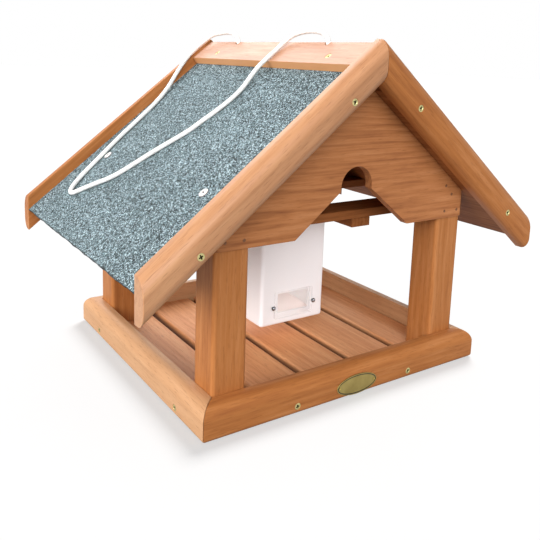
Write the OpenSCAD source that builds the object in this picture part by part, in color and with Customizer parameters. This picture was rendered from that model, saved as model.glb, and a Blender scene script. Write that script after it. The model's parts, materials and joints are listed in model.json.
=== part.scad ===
// Tray bird feeder with a felted roof, a lift-off ridge, a seed silo and a hanging cord.
// Millimetres. +X runs to the right, -Y is the front, +Z is up. The origin is the middle of the underside.

/* [Tray] */
// Width of the tray from side to side
tray_w = 350; // [330:1:390]
// Depth of the tray from front to back
tray_d = 318; // [306:1:360]
// Thickness of the boards round the tray and at the ends of the roof
board_t = 18; // [15:0.5:22]
// Height of these boards
board_h = 32; // [28:0.5:40]
// Rounding of their upper outer edge
board_round = 13; // [6:0.5:14]
// Rounding of their lower outer edge
board_ease = 4; // [1:0.5:5]
// Open line left at each mitre
mitre_gap = 0.4; // [0.2:0.1:0.8]

/* [Floor] */
// Thickness of the slats
slat_t = 10; // [8:0.5:13]
// Width of the three middle slats
slat_w = 59; // [54:0.5:64]
// Gap between two slats
slat_gap = 7; // [3:0.5:9]
// Rounding of the upper edges of the slats
slat_ease = 3; // [1:0.5:4]

/* [Posts and gables] */
// Side of the square posts
post_s = 36; // [30:0.5:42]
// Rounding of the upright edges of the posts
post_ease = 4; // [1:0.5:6]
// Thickness of the gables
gable_t = 10; // [8:0.5:13]
// Rounding of the upright outer edges of the gables
gable_ease = 4; // [1:0.5:6]
// How far the gables stand out from the posts
gable_proud = 2; // [1:0.5:4]
// Height of the lower edge of the gables
gable_z = 166; // [155:1:172]
// Half width of the gable opening at its lower edge
flare_half = 72.5; // [55:0.5:90]
// Radius of the arch
arch_r = 19.5; // [14:0.5:26]
// Height of the middle of the arch above the lower edge of the gable
arch_rise = 46; // [44:0.5:54]

/* [Roof] */
// Pitch of the roof in degrees
pitch = 38.5; // [36:0.5:42]
// How far the eaves reach past the tray
eave_reach = 63; // [50:1:75]
// Height of the upper corner of the felt at the eaves
eave_z = 149; // [144:1:165]
// Thickness of the roof panels
panel_t = 14; // [10:0.5:18]
// Thickness of the felt
felt_t = 2; // [1:0.25:3]
// How far the felt reaches past the panels at the eaves
felt_lap = 3; // [1:0.5:6]
// How far the barge boards stand up above the felt
barge_rise = 12.5; // [8:0.5:14]
// Rounding of the lower outer edge of the barge boards
barge_round = 11; // [2:0.5:14]

/* [Ridge lid] */
// Half width of the filling slot
slot_half = 16; // [12:0.5:24]
// Thickness of the ridge boards
ridge_t = 9.5; // [6:0.5:12]
// How far the ridge boards lie on the felt past the slot
ridge_lap = 6; // [4:0.5:20]
// Length of the blocks under the ridge boards
key_len = 20; // [14:0.5:26]
// Height of the sides of these blocks
key_h = 18; // [12:0.5:22]
// Distance of the middle of the blocks from the ends of the roof
key_inset = 49; // [44:0.5:52]

/* [Hanger] */
// Diameter of the cord
cord_d = 5; // [4:0.25:6.5]
// Distance of the cord holes from the ends of the roof
cord_inset = 71; // [68:0.5:73]
// Thickness of the hanger bars
bar_t = 20; // [14:0.5:24]
// Height of the hanger bars
bar_h = 25; // [18:0.5:35]
// Depth of the hanger bars below the peak of the panels
bar_drop = 31; // [26:0.5:45]
// Diameter of the stop knots
knot_d = 13.5; // [11:0.5:18]

/* [Silo] */
// Width of the silo
silo_w = 86; // [74:0.5:98]
// Depth of the silo
silo_d = 90; // [78:0.5:98]
// Height of the silo
silo_h = 128; // [112:0.5:142]
// Wall of the silo
silo_wall = 2; // [1.5:0.1:3]
// Rounding of the upright edges of the silo
silo_round = 4; // [3.5:0.25:8]
// Reach of the rim past the silo on the left and right
rim_reach = 11; // [7:0.5:16]
// Thickness of the rim
rim_t = 3; // [2:0.25:5]
// Width of the outlets
outlet_w = 42; // [30:0.5:50]
// Height of the outlets
outlet_h = 22; // [16:0.5:26]
// Height of the outlets above the underside of the silo
outlet_z = 14; // [10:0.5:18]
// Height of the deflector inside the silo
deflector_h = 31; // [22:0.5:38]

/* [Silo laths] */
// Height of the underside of the cross boards
cross_z = 162; // [160:0.5:175]
// Thickness of the cross boards
cross_t = 10; // [8:0.5:14]
// Width of the cross boards
cross_w = 38; // [28:0.5:42]
// Gap between the silo and the cross boards
cross_gap = 5; // [2:0.5:7]
// Width of the rails
rail_w = 26; // [18:0.5:34]
// Thickness of the rails
rail_t = 10; // [8:0.5:14]
// Gap between the silo and the rails
rail_gap = 1.5; // [0.5:0.25:3]

/* [Gates] */
// Thickness of the gates
gate_t = 2; // [1.5:0.1:3]
// How far a gate covers the wall on each side of the outlet
gate_lap = 5; // [4:0.25:8]
// How far a gate reaches below the outlet
gate_below = 6.5; // [4:0.25:8]
// How far a gate reaches above the outlet
gate_above = 2.5; // [2:0.25:6]
// Height of the gate screws above the lower edge of the gate
gate_screw_z = 13.5; // [9:0.5:16]
// Diameter of the heads of the gate screws
gate_screw_head = 5; // [4.5:0.1:6]
// Diameter of the shanks of the gate screws
gate_screw_shank = 2.4; // [2:0.1:2.8]

/* [Screws and badge] */
// Diameter of the countersunk heads
screw_head = 7; // [6:0.1:8]
// Diameter of the screw shanks
screw_shank = 3.6; // [3:0.1:4]
// Length of the screws through the boards
screw_len = 36; // [30:0.5:45]
// Height of the tray screws
tray_screw_z = 7.5; // [6.5:0.25:8]
// Diameter of the washer heads on the felt
felt_screw_head = 10; // [8:0.25:12]
// Length of the screws through the felt
felt_screw_len = 42; // [34:0.5:50]
// Diameter of the heads of the gable nails
nail_head = 3.2; // [3:0.1:6]
// Length of the gable nails
nail_len = 22; // [16:0.5:24]
// Width of the oval badge
badge_w = 52; // [40:0.5:60]
// Height of the oval badge
badge_h = 21; // [14:0.5:24]
// Thickness of the badge
badge_t = 1; // [0.6:0.1:2]

/* [Hidden] */
$fn = 48;

// Clearances
hole_clear = 0.15;
lid_clear = 0.3;
lid_end_clear = 0.5;
key_clear = 1.5;
gate_clear = 0.2;
head_clear = 0.3;
cord_clear = 0.5;
lid_hole_clear = 1;
deflector_clear = 0.5;
over = 1;

// Tray
inner_x = tray_w / 2 - board_t;
inner_y = tray_d / 2 - board_t;
round_top = min(board_round, board_t - over);
round_low = min(barge_round, board_t - over);
mitre_shift = mitre_gap / sqrt(2);
slat_pitch = slat_w + slat_gap;
outer_slat_x = 1.5 * slat_w + 2 * slat_gap;
slat_screw_off = 7;
side_screw_inset = 57;
front_screw_x = slat_pitch + slat_screw_off;
side_screw_y = tray_d / 2 - side_screw_inset;

// Posts and gables
post_x = inner_x - post_s;
post_y = inner_y - post_s;
gable_in = inner_y + gable_proud - gable_t;
post_screw_len = 48;
nail_shank = 2;
nail_cap = 0.8;
// Nails in each post: two above the gable's lower edge, two below the panel
nail_rise = 8;
nail_low = gable_z + nail_rise;
nail_in = [7.5, 17, 27];
nail_x = [for (inset = nail_in) post_x + inset];
nail_drop = [13.5, 16];

// Roof, with x along the slope and z square to it
roof_half = tray_w / 2 + eave_reach;
roof_len = tray_d;
roof_t = panel_t + felt_t;
slope_len = (roof_half - roof_t * sin(pitch)) / cos(pitch);
under_apex = eave_z + slope_len * sin(pitch) - roof_t * cos(pitch);
barge_below = board_h - roof_t - barge_rise;
// Barge screws of the left and of the right slope
barge_screw_x = [[37.5, 189], [46, 194]];
felt_screw_in = 1;
felt_screw_inset = 23;
felt_screw_x = inner_x - felt_screw_in;
felt_screw_y = inner_y - felt_screw_inset;
felt_screw_cap = 1.4;

// Ridge lid
ridge_z0 = roof_t + lid_clear;
ridge_z1 = ridge_z0 + ridge_t;
ridge_end = plumb(slot_half, ridge_z0) + ridge_lap;
ridge_under = under_apex + ridge_z0 / cos(pitch);
ridge_top = under_apex + ridge_z1 / cos(pitch);
ridge_len = roof_len - 2 * lid_end_clear;
key_half = slot_half - key_clear;
key_y = roof_len / 2 - key_inset;
ridge_screw_in = 3;
ridge_screw_grip = 8;
ridge_screw_len = ridge_t + ridge_screw_grip;

// Hanger
cord_y = roof_len / 2 - cord_inset;
bar_top = under_apex - bar_drop;
bar_bottom = bar_top - bar_h;
cord_start = 344;
cord_sides = 10;
// The cord's route, from the front hole over the left slope to the back hole
cord_route = [
    [0, -cord_y, 344], [0, -cord_y, 350.5], [0, 3.5 - cord_y, 356.5], [0, 13 - cord_y, 360.5], [0, -60, 362],
    [0, -44, 361], [-2, -29, 357.5], [-7.5, -20.5, 350.2], [-16, -18, 341.9], [-27, -18.2, 333.2],
    [-37, -16, 323.5], [-44.5, -12.3, 312.3], [-53, -10.5, 300.6], [-66, -11.3, 289.6], [-82, -8, 276.9],
    [-98, -1.8, 264.1], [-112, 4, 253], [-139, 24.5, 231.5], [-166, 42, 210.1], [-178, 53, 200.5],
    [-188, 68, 192.6], [-198, 83, 184.6], [-206, 96, 178.2], [-203, 108, 180.6], [-190, 117, 191],
    [-164, 124.7, 211.7], [-136, 132, 234], [-109, 136, 255.4], [-87, 140.5, 273], [-68, 147, 290.4],
    [-53, 153, 308.5], [-40, 155.5, 325], [-27, 158, 337.5], [-13, 157, 349.5], [-4, 148, 358.5], [0, 131, 361.5],
    [0, cord_y + 20, 362], [0, cord_y + 5, 357.5], [0, cord_y, 350], [0, cord_y, 344]
];
// A direction that the route never follows
cord_side = [-0.62, 0, 0.78];

// Silo
silo_top = cross_z + rim_t;
silo_z = silo_top - silo_h;
cross_y = silo_d / 2 + cross_gap;
rail_x = silo_w / 2 + rail_gap;
outlet_bottom = silo_z + outlet_z;
gate_w = outlet_w + 2 * gate_lap;
gate_h = outlet_h + gate_below + gate_above;
gate_bottom = outlet_bottom - gate_below;
gate_round = 2;
gate_face = silo_d / 2 + gate_clear + gate_t;
gate_screw_gap = 0.4;
gate_screw_x = gate_w / 2 + gate_screw_gap + gate_screw_shank / 2;
gate_screw_tip = 7;
gate_screw_len = gate_t + silo_wall + gate_screw_tip;
gate_head_t = 1.7;
rail_screw_cover = 2;
rail_screw_len = rail_t + cross_t - rail_screw_cover;

// Badge
badge_z = 12;
badge_sides = 60;
badge_pin_in = 3.5;
badge_pin_x = badge_w / 2 - badge_pin_in;
badge_pin_d = 1.2;
badge_pin_head = 2.2;
badge_pin_len = 8;

// Colours
wood = [0.76, 0.50, 0.31];
pale_wood = [0.87, 0.68, 0.55];
felt_green = [0.53, 0.61, 0.63];
white = [0.94, 0.92, 0.90];
yellow_zinc = [0.80, 0.68, 0.36];
steel = [0.75, 0.75, 0.76];
brass = [0.66, 0.56, 0.28];
clear_plastic = [0.85, 0.90, 0.92];

// Place along the slope of a point that lies plumb at x and at height z above the panels' underside
function plumb(x, z) = (x - z * sin(pitch)) / cos(pitch);

// Height of the panels' underside
function under(x) = under_apex - abs(x) * tan(pitch);

// Half width of the house at a height below the panels
function half_at(z) = (under_apex - z) / tan(pitch);

function unit(v) = v / norm(v);

function tangent(route, i) = unit(route[min(i + 1, len(route) - 1)] - route[max(i - 1, 0)]);

function ring(route, i, r, sides) =
    let (along = tangent(route, i))
    let (across = unit(cross(along, cord_side)))
    let (upward = cross(across, along))
    [for (k = [0 : sides - 1])
        route[i] + r * (cos(360 * k / sides) * across + sin(360 * k / sides) * upward)];

// What a rounded corner takes away from a shape that lies left of and below the corner
module corner_cut(r) {
    translate([-r, -r]) difference() {
        square(r + over);
        circle(r);
    }
}

module rounded_rect(w, d, r) {
    difference() {
        square([w, d], center = true);
        for (mx = [0, 1], my = [0, 1])
            mirror([mx, 0]) mirror([0, my]) translate([w / 2, d / 2]) corner_cut(r);
    }
}

// Profile extruded along Y, with the profile's y as height
module along_y(length) {
    rotate([90, 0, 0]) linear_extrude(height = length, center = true) children();
}

// Frame of the right slope, from the peak of the panels' underside
module on_slope() {
    translate([0, 0, under_apex]) rotate([0, pitch, 0]) children();
}

// Draws on the right with side 1, and mirrored to the left with side -1
module to_side(side) {
    mirror([side < 0 ? 1 : 0, 0, 0]) children();
}

// Draws at the front with end -1, and mirrored to the back with end 1
module to_end(end) {
    mirror([0, end > 0 ? 1 : 0, 0]) children();
}

// Section of the rounded boards: x from the inner face outwards, y upwards
module board_section(low = board_ease) {
    difference() {
        square([board_t, board_h]);
        translate([board_t, board_h]) corner_cut(round_top);
        translate([board_t, 0]) mirror([0, 1]) corner_cut(low);
    }
}

// Countersunk screw with its head towards +Z, its top just under the surface at z = 0.
// With room it is the hole that the screw fits.
module screw(length, room = 0) {
    sink = 0.3;
    top = room > 0 ? over : -sink;
    head_r = screw_head / 2 + room;
    shank_r = screw_shank / 2 + room;
    neck = -sink - (screw_head - screw_shank) / 2;
    difference() {
        rotate_extrude() polygon([
            [0, top], [head_r, top], [head_r, -sink], [shank_r, neck],
            [shank_r, screw_shank - length], [0, -length - room]
        ]);
        if (room == 0) drive_cross(-sink);
    }
}

// Cross-shaped recess of a screw head
module drive_cross(top) {
    arm = 0.55 * screw_head;
    slot_w = 0.9;
    slot_deep = 1.2;
    for (turn = [0, 90])
        rotate(turn) translate([-arm / 2, -slot_w / 2, top - slot_deep]) cube([arm, slot_w, slot_deep + over]);
}

// Pin with a flat cap on the surface at z = 0. With room it is the hole for its shank.
module capped_pin(length, shank_d, cap_d, cap_t, room = 0) {
    translate([0, 0, -length]) cylinder(h = length + (room > 0 ? over : 0), d = shank_d + 2 * room);
    if (room == 0) cylinder(h = cap_t, d = cap_d);
}

// Tray board that faces the front, turned to its own side
module tray_board(turn, length, reach) {
    tip = length / 2 - mitre_shift;
    color(wood) rotate(turn) difference() {
        intersection() {
            translate([0, board_t - reach, 0]) rotate([90, 0, -90])
                linear_extrude(height = length, center = true) board_section();
            linear_extrude(height = board_h) polygon([
                [-tip, -reach], [tip, -reach], [tip - board_t, board_t - reach], [board_t - tip, board_t - reach]
            ]);
        }
        rotate(-turn) tray_screw_set(hole_clear);
        rotate(-turn) badge_pin_set(hole_clear);
    }
}

module tray_board_front() tray_board(0, tray_w, tray_d / 2);
module tray_board_right() tray_board(90, tray_d, tray_w / 2);
module tray_board_back() tray_board(180, tray_w, tray_d / 2);
module tray_board_left() tray_board(270, tray_d, tray_w / 2);

// Slat from x0 to x1, running from the front board to the back board
module floor_slat(x0, x1) {
    width = x1 - x0;
    color(pale_wood) difference() {
        translate([(x0 + x1) / 2, 0, 0]) along_y(2 * inner_y) difference() {
            translate([-width / 2, 0]) square([width, slat_t]);
            for (side = [0, 1]) mirror([side, 0]) translate([width / 2, slat_t]) corner_cut(slat_ease);
        }
        tray_screw_set(hole_clear);
        post_screw_set(hole_clear);
    }
}

module floor_slat_1() floor_slat(-inner_x, -outer_slat_x);
module floor_slat_2() floor_slat(-slat_pitch - slat_w / 2, -slat_pitch + slat_w / 2);
module floor_slat_3() floor_slat(-slat_w / 2, slat_w / 2);
module floor_slat_4() floor_slat(slat_pitch - slat_w / 2, slat_pitch + slat_w / 2);
module floor_slat_5() floor_slat(outer_slat_x, inner_x);

module tray_screw_set(room = 0) {
    for (turn = [0, 180], x = [-front_screw_x, 0, front_screw_x])
        rotate(turn) translate([x, -tray_d / 2, tray_screw_z]) rotate([90, 0, 0]) screw(screw_len, room);
    for (turn = [90, 270], y = [-side_screw_y, side_screw_y])
        rotate(turn) translate([y, -tray_w / 2, tray_screw_z]) rotate([90, 0, 0]) screw(screw_len, room);
}

module tray_screws() color(yellow_zinc) tray_screw_set();

module badge() {
    color(brass) difference() {
        translate([0, -tray_d / 2, badge_z]) rotate([90, 0, 0]) linear_extrude(height = badge_t) polygon([
            for (k = [0 : badge_sides - 1])
                [badge_w / 2 * cos(360 * k / badge_sides), badge_h / 2 * sin(360 * k / badge_sides)]
        ]);
        badge_pin_set(hole_clear);
    }
}

module badge_pin_set(room = 0) {
    for (x = [-badge_pin_x, badge_pin_x])
        translate([x, -tray_d / 2 - badge_t, badge_z]) rotate([90, 0, 0])
            capped_pin(badge_pin_len, badge_pin_d, badge_pin_head, badge_pin_d / 2, room);
}

module badge_pins() color(brass) badge_pin_set();

// Everything below the panels
module under_roof() {
    along_y(tray_d) polygon([
        [-roof_half, 0], [roof_half, 0], [roof_half, under(roof_half)], [0, under_apex],
        [-roof_half, under(roof_half)]
    ]);
}

module post(side, end) {
    color(wood) difference() {
        to_side(side) to_end(end) difference() {
            intersection() {
                translate([post_x + post_s / 2, -post_y - post_s / 2, slat_t])
                    linear_extrude(height = under_apex) rounded_rect(post_s, post_s, post_ease);
                under_roof();
            }
            translate([post_x - over, -inner_y - over, gable_z])
                cube([post_s + 2 * over, inner_y + over - gable_in, under_apex]);
        }
        gable_nail_set(hole_clear);
        felt_screw_set(hole_clear);
        post_screw_set(hole_clear);
    }
}

module post_front_left() post(-1, -1);
module post_front_right() post(1, -1);
module post_back_left() post(-1, 1);
module post_back_right() post(1, 1);

module post_screw_set(room = 0) {
    for (side = [-1, 1], end = [-1, 1])
        translate([side * (post_x + post_s / 2), end * (post_y + post_s / 2), 0])
            rotate([180, 0, 0]) screw(post_screw_len, room);
}

module post_screws() color(yellow_zinc) post_screw_set();

// Gable with the flared opening and its arch
module gable(end) {
    color(wood) difference() {
        to_end(end) translate([0, -gable_in, 0]) intersection() {
            translate([0, -gable_t / 2, 0]) along_y(gable_t) difference() {
                polygon([
                    [-inner_x, gable_z], [inner_x, gable_z], [inner_x, under(inner_x)], [0, under_apex],
                    [-inner_x, under(inner_x)]
                ]);
                gable_opening();
            }
            linear_extrude(height = under_apex) gable_plan();
        }
        gable_nail_set(hole_clear);
    }
}

// The gable from above, with its two outer corners rounded
module gable_plan() {
    difference() {
        translate([-inner_x, -gable_t]) square([2 * inner_x, gable_t]);
        for (side = [0, 1])
            mirror([side, 0]) translate([inner_x, -gable_t]) mirror([0, 1]) corner_cut(gable_ease);
    }
}

module gable_opening() {
    low = gable_z - over;
    flare_low = flare_half + over / tan(pitch);
    shoulder = gable_z + (flare_half - arch_r) * tan(pitch);
    arch_z = gable_z + arch_rise;
    polygon([[-flare_low, low], [flare_low, low], [arch_r, shoulder], [-arch_r, shoulder]]);
    translate([-arch_r, low]) square([2 * arch_r, arch_z - low]);
    translate([0, arch_z]) circle(arch_r);
}

module gable_front() gable(-1);
module gable_back() gable(1);

// Two nails near the lower edge, and two below the panel, in each post
module gable_nail_set(room = 0) {
    spots = [
        [nail_x[0], nail_low], [nail_x[2], nail_low],
        [nail_x[0], under(nail_x[0]) - nail_drop[0]], [nail_x[1], under(nail_x[1]) - nail_drop[1]]
    ];
    for (side = [-1, 1], end = [-1, 1], spot = spots)
        to_side(side) to_end(end) translate([spot[0], -gable_in - gable_t, spot[1]]) rotate([90, 0, 0])
            capped_pin(nail_len, nail_shank, nail_head, nail_cap, room);
}

module gable_nails() color(steel) gable_nail_set();

// Sheet on the slope from height z0 to z1 above the panels' underside, plumb at the slot and square at its reach
module slope_sheet(z0, z1, reach) {
    on_slope() along_y(roof_len) polygon([
        [plumb(slot_half, z0), z0], [reach, z0], [reach, z1], [plumb(slot_half, z1), z1]
    ]);
}

module roof_panel(side) {
    color(pale_wood) difference() {
        to_side(side) slope_sheet(0, panel_t, slope_len - felt_lap);
        barge_screw_set(hole_clear);
        felt_screw_set(hole_clear);
    }
}

module roof_panel_left() roof_panel(-1);
module roof_panel_right() roof_panel(1);

module felt(side) {
    color(felt_green) difference() {
        to_side(side) slope_sheet(panel_t, roof_t, slope_len);
        felt_screw_set(hole_clear);
    }
}

module felt_left() felt(-1);
module felt_right() felt(1);

// Washer-headed screws through the felt into the posts
module felt_screw_set(room = 0) {
    for (side = [-1, 1], y = [-felt_screw_y, felt_screw_y])
        to_side(side) on_slope() translate([plumb(felt_screw_x, roof_t), y, roof_t])
            capped_pin(felt_screw_len, screw_shank, felt_screw_head, felt_screw_cap, room);
}

module felt_screws() color(white) felt_screw_set();

// Barge board on the end of one slope, plumb at the eave and at the peak
module barge(side, end) {
    reach = slope_len + board_h;
    color(wood) difference() {
        to_side(side) to_end(end) intersection() {
            on_slope() translate([reach / 2 - board_h, -roof_len / 2, -barge_below]) rotate([90, 0, -90])
                linear_extrude(height = reach + 2 * board_h, center = true) board_section(round_low);
            translate([mitre_gap / 2, -roof_len / 2 - board_t - over, 0])
                cube([roof_half - mitre_gap / 2, board_t + 2 * over, 2 * under_apex]);
        }
        barge_screw_set(hole_clear);
    }
}

module barge_front_left() barge(-1, -1);
module barge_front_right() barge(1, -1);
module barge_back_left() barge(-1, 1);
module barge_back_right() barge(1, 1);

// Screws through the barge boards into the middle of the panels' ends
module barge_screw_set(room = 0) {
    for (side = [-1, 1], end = [-1, 1], x = barge_screw_x[side < 0 ? 0 : 1])
        to_side(side) to_end(end)
            translate([x, -roof_len / 2 - board_t, under(x) + panel_t / 2 / cos(pitch)])
                rotate([90, 0, 0]) screw(screw_len, room);
}

module barge_screws() color(yellow_zinc) barge_screw_set();

// Ridge board, mitred at the peak, with half of each cord hole
module ridge_board(side) {
    color(pale_wood) difference() {
        to_side(side) on_slope() along_y(ridge_len) polygon([
            [plumb(0, ridge_z0), ridge_z0], [ridge_end, ridge_z0], [ridge_end, ridge_z1],
            [plumb(0, ridge_z1), ridge_z1]
        ]);
        ridge_screw_set(hole_clear);
        for (end = [-1, 1])
            translate([0, end * cord_y, under_apex])
                cylinder(h = ridge_top - under_apex + over, d = cord_d + 2 * lid_hole_clear);
    }
}

module ridge_board_left() ridge_board(-1);
module ridge_board_right() ridge_board(1);

// Block that joins the ridge boards and sits in the filling slot
module lid_key(end) {
    shoulder = ridge_under - key_half * tan(pitch);
    color(wood) difference() {
        translate([0, end * key_y, 0]) along_y(key_len) polygon([
            [0, ridge_under], [key_half, shoulder], [key_half, shoulder - key_h],
            [-key_half, shoulder - key_h], [-key_half, shoulder]
        ]);
        ridge_screw_set(hole_clear);
    }
}

module lid_key_front() lid_key(-1);
module lid_key_back() lid_key(1);

module ridge_screw_set(room = 0) {
    for (side = [-1, 1], end = [-1, 1])
        to_side(side) on_slope()
            translate([plumb(key_half - ridge_screw_in, ridge_z0), end * key_y, ridge_z1])
                screw(ridge_screw_len, room);
}

module ridge_screws() color(yellow_zinc) ridge_screw_set();

// Bar between the panels that carries one end of the cord
module hanger_bar(end) {
    color(wood) difference() {
        translate([0, end * cord_y, 0]) along_y(bar_t) polygon([
            [-half_at(bar_bottom), bar_bottom], [half_at(bar_bottom), bar_bottom],
            [half_at(bar_top), bar_top], [-half_at(bar_top), bar_top]
        ]);
        translate([0, end * cord_y, bar_bottom - over])
            cylinder(h = bar_h + 2 * over, d = cord_d + 2 * cord_clear);
    }
}

module hanger_bar_front() hanger_bar(-1);
module hanger_bar_back() hanger_bar(1);

// Straight end of the cord, from its knot to just below the free stretch
module cord_tail(end) {
    color(white) translate([0, end * cord_y, bar_bottom])
        cylinder(h = cord_start - lid_clear - bar_bottom, d = cord_d);
}

module cord_tail_front() cord_tail(-1);
module cord_tail_back() cord_tail(1);

module cord_knots() {
    drop = knot_d / 4;
    color(white) for (end = [-1, 1])
        translate([0, end * cord_y, bar_bottom]) difference() {
            translate([0, 0, -drop]) sphere(d = knot_d);
            translate([-knot_d, -knot_d, 0]) cube(2 * knot_d);
        }
}

module hanging_cord() {
    last = len(cord_route) - 1;
    n = cord_sides;
    points = [for (i = [0 : last]) each ring(cord_route, i, cord_d / 2, n)];
    walls = [
        for (i = [0 : last - 1], k = [0 : n - 1])
            let (a = i * n + k, b = i * n + (k + 1) % n)
            each [[a, b, b + n], [a, b + n, a + n]]
    ];
    first_cap = [for (k = [1 : n - 2]) [0, k + 1, k]];
    last_cap = [for (k = [1 : n - 2]) [last * n, last * n + k, last * n + k + 1]];
    color(white) polyhedron(points, concat(walls, first_cap, last_cap));
}

// Board between the panels beside the silo
module cross_board(end) {
    top = cross_z + cross_t;
    color(pale_wood) difference() {
        translate([0, end * (cross_y + cross_w / 2), 0]) along_y(cross_w) polygon([
            [-half_at(cross_z), cross_z], [half_at(cross_z), cross_z], [half_at(top), top], [-half_at(top), top]
        ]);
        collar_screw_set(hole_clear);
    }
}

module cross_board_front() cross_board(-1);
module cross_board_back() cross_board(1);

// Rail under the cross boards that carries the rim of the silo
module silo_rail(side) {
    rail_len = 2 * (cross_y + cross_w);
    color(pale_wood) difference() {
        to_side(side) translate([rail_x, -rail_len / 2, cross_z - rail_t]) cube([rail_w, rail_len, rail_t]);
        collar_screw_set(hole_clear);
    }
}

module silo_rail_left() silo_rail(-1);
module silo_rail_right() silo_rail(1);

module collar_screw_set(room = 0) {
    for (side = [-1, 1], end = [-1, 1])
        translate([side * (rail_x + rail_w / 2), end * (cross_y + cross_w / 2), cross_z - rail_t])
            rotate([180, 0, 0]) screw(rail_screw_len, room);
}

module collar_screws() color(yellow_zinc) collar_screw_set();

// Open-topped box with a rim on the left and right and an outlet at the front and back
module silo_body() {
    color(white) difference() {
        union() {
            translate([0, 0, silo_z]) linear_extrude(height = silo_h) rounded_rect(silo_w, silo_d, silo_round);
            translate([0, 0, cross_z]) linear_extrude(height = rim_t)
                rounded_rect(silo_w + 2 * rim_reach, silo_d, silo_round);
        }
        translate([0, 0, silo_z + silo_wall]) linear_extrude(height = silo_h)
            rounded_rect(silo_w - 2 * silo_wall, silo_d - 2 * silo_wall, silo_round - silo_wall / 2);
        translate([-outlet_w / 2, -silo_d, outlet_bottom]) cube([outlet_w, 2 * silo_d, outlet_h]);
        gate_screw_set(hole_clear);
    }
}

// Hipped pyramid that leads the seed to the outlets
module silo_deflector() {
    half_w = silo_w / 2 - silo_wall - deflector_clear;
    half_d = silo_d / 2 - silo_wall - deflector_clear;
    color(white) translate([0, 0, silo_z + silo_wall]) intersection() {
        along_y(2 * half_d) polygon([[-half_w, 0], [half_w, 0], [0, deflector_h]]);
        rotate(90) along_y(2 * half_w) polygon([[-half_d, 0], [half_d, 0], [0, deflector_h]]);
    }
}

module gate(end) {
    color(clear_plastic) to_end(end)
        translate([0, gate_t / 2 - gate_face, gate_bottom + gate_h / 2]) along_y(gate_t)
            rounded_rect(gate_w, gate_h, gate_round);
}

module gate_front() gate(-1);
module gate_back() gate(1);

module gate_screw_set(room = 0) {
    for (side = [-1, 1], end = [-1, 1])
        to_end(end) translate([side * gate_screw_x, -gate_face - head_clear, gate_bottom + gate_screw_z])
            rotate([90, 0, 0]) capped_pin(gate_screw_len, gate_screw_shank, gate_screw_head, gate_head_t, room);
}

module gate_screws() color(steel) gate_screw_set();

tray_board_front();
tray_board_right();
tray_board_back();
tray_board_left();
floor_slat_1();
floor_slat_2();
floor_slat_3();
floor_slat_4();
floor_slat_5();
tray_screws();
badge();
badge_pins();
post_front_left();
post_front_right();
post_back_left();
post_back_right();
post_screws();
gable_front();
gable_back();
gable_nails();
roof_panel_left();
roof_panel_right();
felt_left();
felt_right();
felt_screws();
barge_front_left();
barge_front_right();
barge_back_left();
barge_back_right();
barge_screws();
ridge_board_left();
ridge_board_right();
lid_key_front();
lid_key_back();
ridge_screws();
hanger_bar_front();
hanger_bar_back();
cord_tail_front();
cord_tail_back();
cord_knots();
hanging_cord();
cross_board_front();
cross_board_back();
silo_rail_left();
silo_rail_right();
collar_screws();
silo_body();
silo_deflector();
gate_front();
gate_back();
gate_screws();
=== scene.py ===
# %% [markdown]
# # A tray bird feeder, dressed for its portrait
#
# The solids of the feeder were designed first and packed into one model file. This script loads that
# model as a fixed frame and puts finished pieces over it: planed and stained boards, mineral felt, a
# braided cord, real screw heads, a plastic silo with clear gates. Most pieces ride on one of the model's
# moving bodies, so the lid and the gates still move. Lengths are in metres.

import json
import math
import random

import bmesh
import bpy
import numpy as np
from mathutils import Matrix, Vector


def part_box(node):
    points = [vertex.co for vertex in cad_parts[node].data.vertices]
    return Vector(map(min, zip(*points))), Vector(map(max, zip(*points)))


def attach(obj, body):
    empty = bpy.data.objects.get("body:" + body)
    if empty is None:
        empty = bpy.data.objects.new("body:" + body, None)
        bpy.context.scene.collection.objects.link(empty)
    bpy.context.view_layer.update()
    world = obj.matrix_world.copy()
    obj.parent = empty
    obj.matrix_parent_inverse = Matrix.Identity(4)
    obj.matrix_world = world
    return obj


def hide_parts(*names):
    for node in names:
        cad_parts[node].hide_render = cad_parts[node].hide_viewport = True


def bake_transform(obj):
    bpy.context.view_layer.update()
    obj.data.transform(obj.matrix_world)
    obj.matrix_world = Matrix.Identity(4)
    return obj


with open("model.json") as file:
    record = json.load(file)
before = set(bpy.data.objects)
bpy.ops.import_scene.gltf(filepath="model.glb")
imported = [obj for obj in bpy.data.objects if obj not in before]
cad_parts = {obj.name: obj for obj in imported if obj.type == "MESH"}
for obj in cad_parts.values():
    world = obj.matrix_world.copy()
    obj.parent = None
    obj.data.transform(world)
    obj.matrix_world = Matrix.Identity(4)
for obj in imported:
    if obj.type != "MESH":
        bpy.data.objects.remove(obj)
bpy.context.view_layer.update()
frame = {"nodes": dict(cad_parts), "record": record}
nodes = frame["nodes"]
bodies = frame["record"]["behaviour"]["bodies"]
body_of = {node: body for body, members in bodies.items() for node in members}
scene = bpy.context.scene
MM = 0.001
print("solids:", len(nodes), "bodies:", sorted(bodies))

# %% [markdown]
# ## The camera
#
# The feeder is seen from the front left, a little above the tray, by a lens that is slightly longer than
# normal. Place, turn and lens were worked out from the straight edges of the tray and the roof. The
# middle of the picture lies below the optical axis, which is why the lens is shifted instead of tilted.

# %% Camera
PICTURE_PIXELS = 540
FOCAL_PIXELS = 664.5
AXIS_ROW = 168.9
SENSOR_MM = 36.0
CAMERA_PLACE = (-0.4289, -0.6245, 0.3349)
YAW = math.radians(34.05)
PITCH_DOWN = math.radians(9.63)
ROLL = math.radians(1.91)

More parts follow.
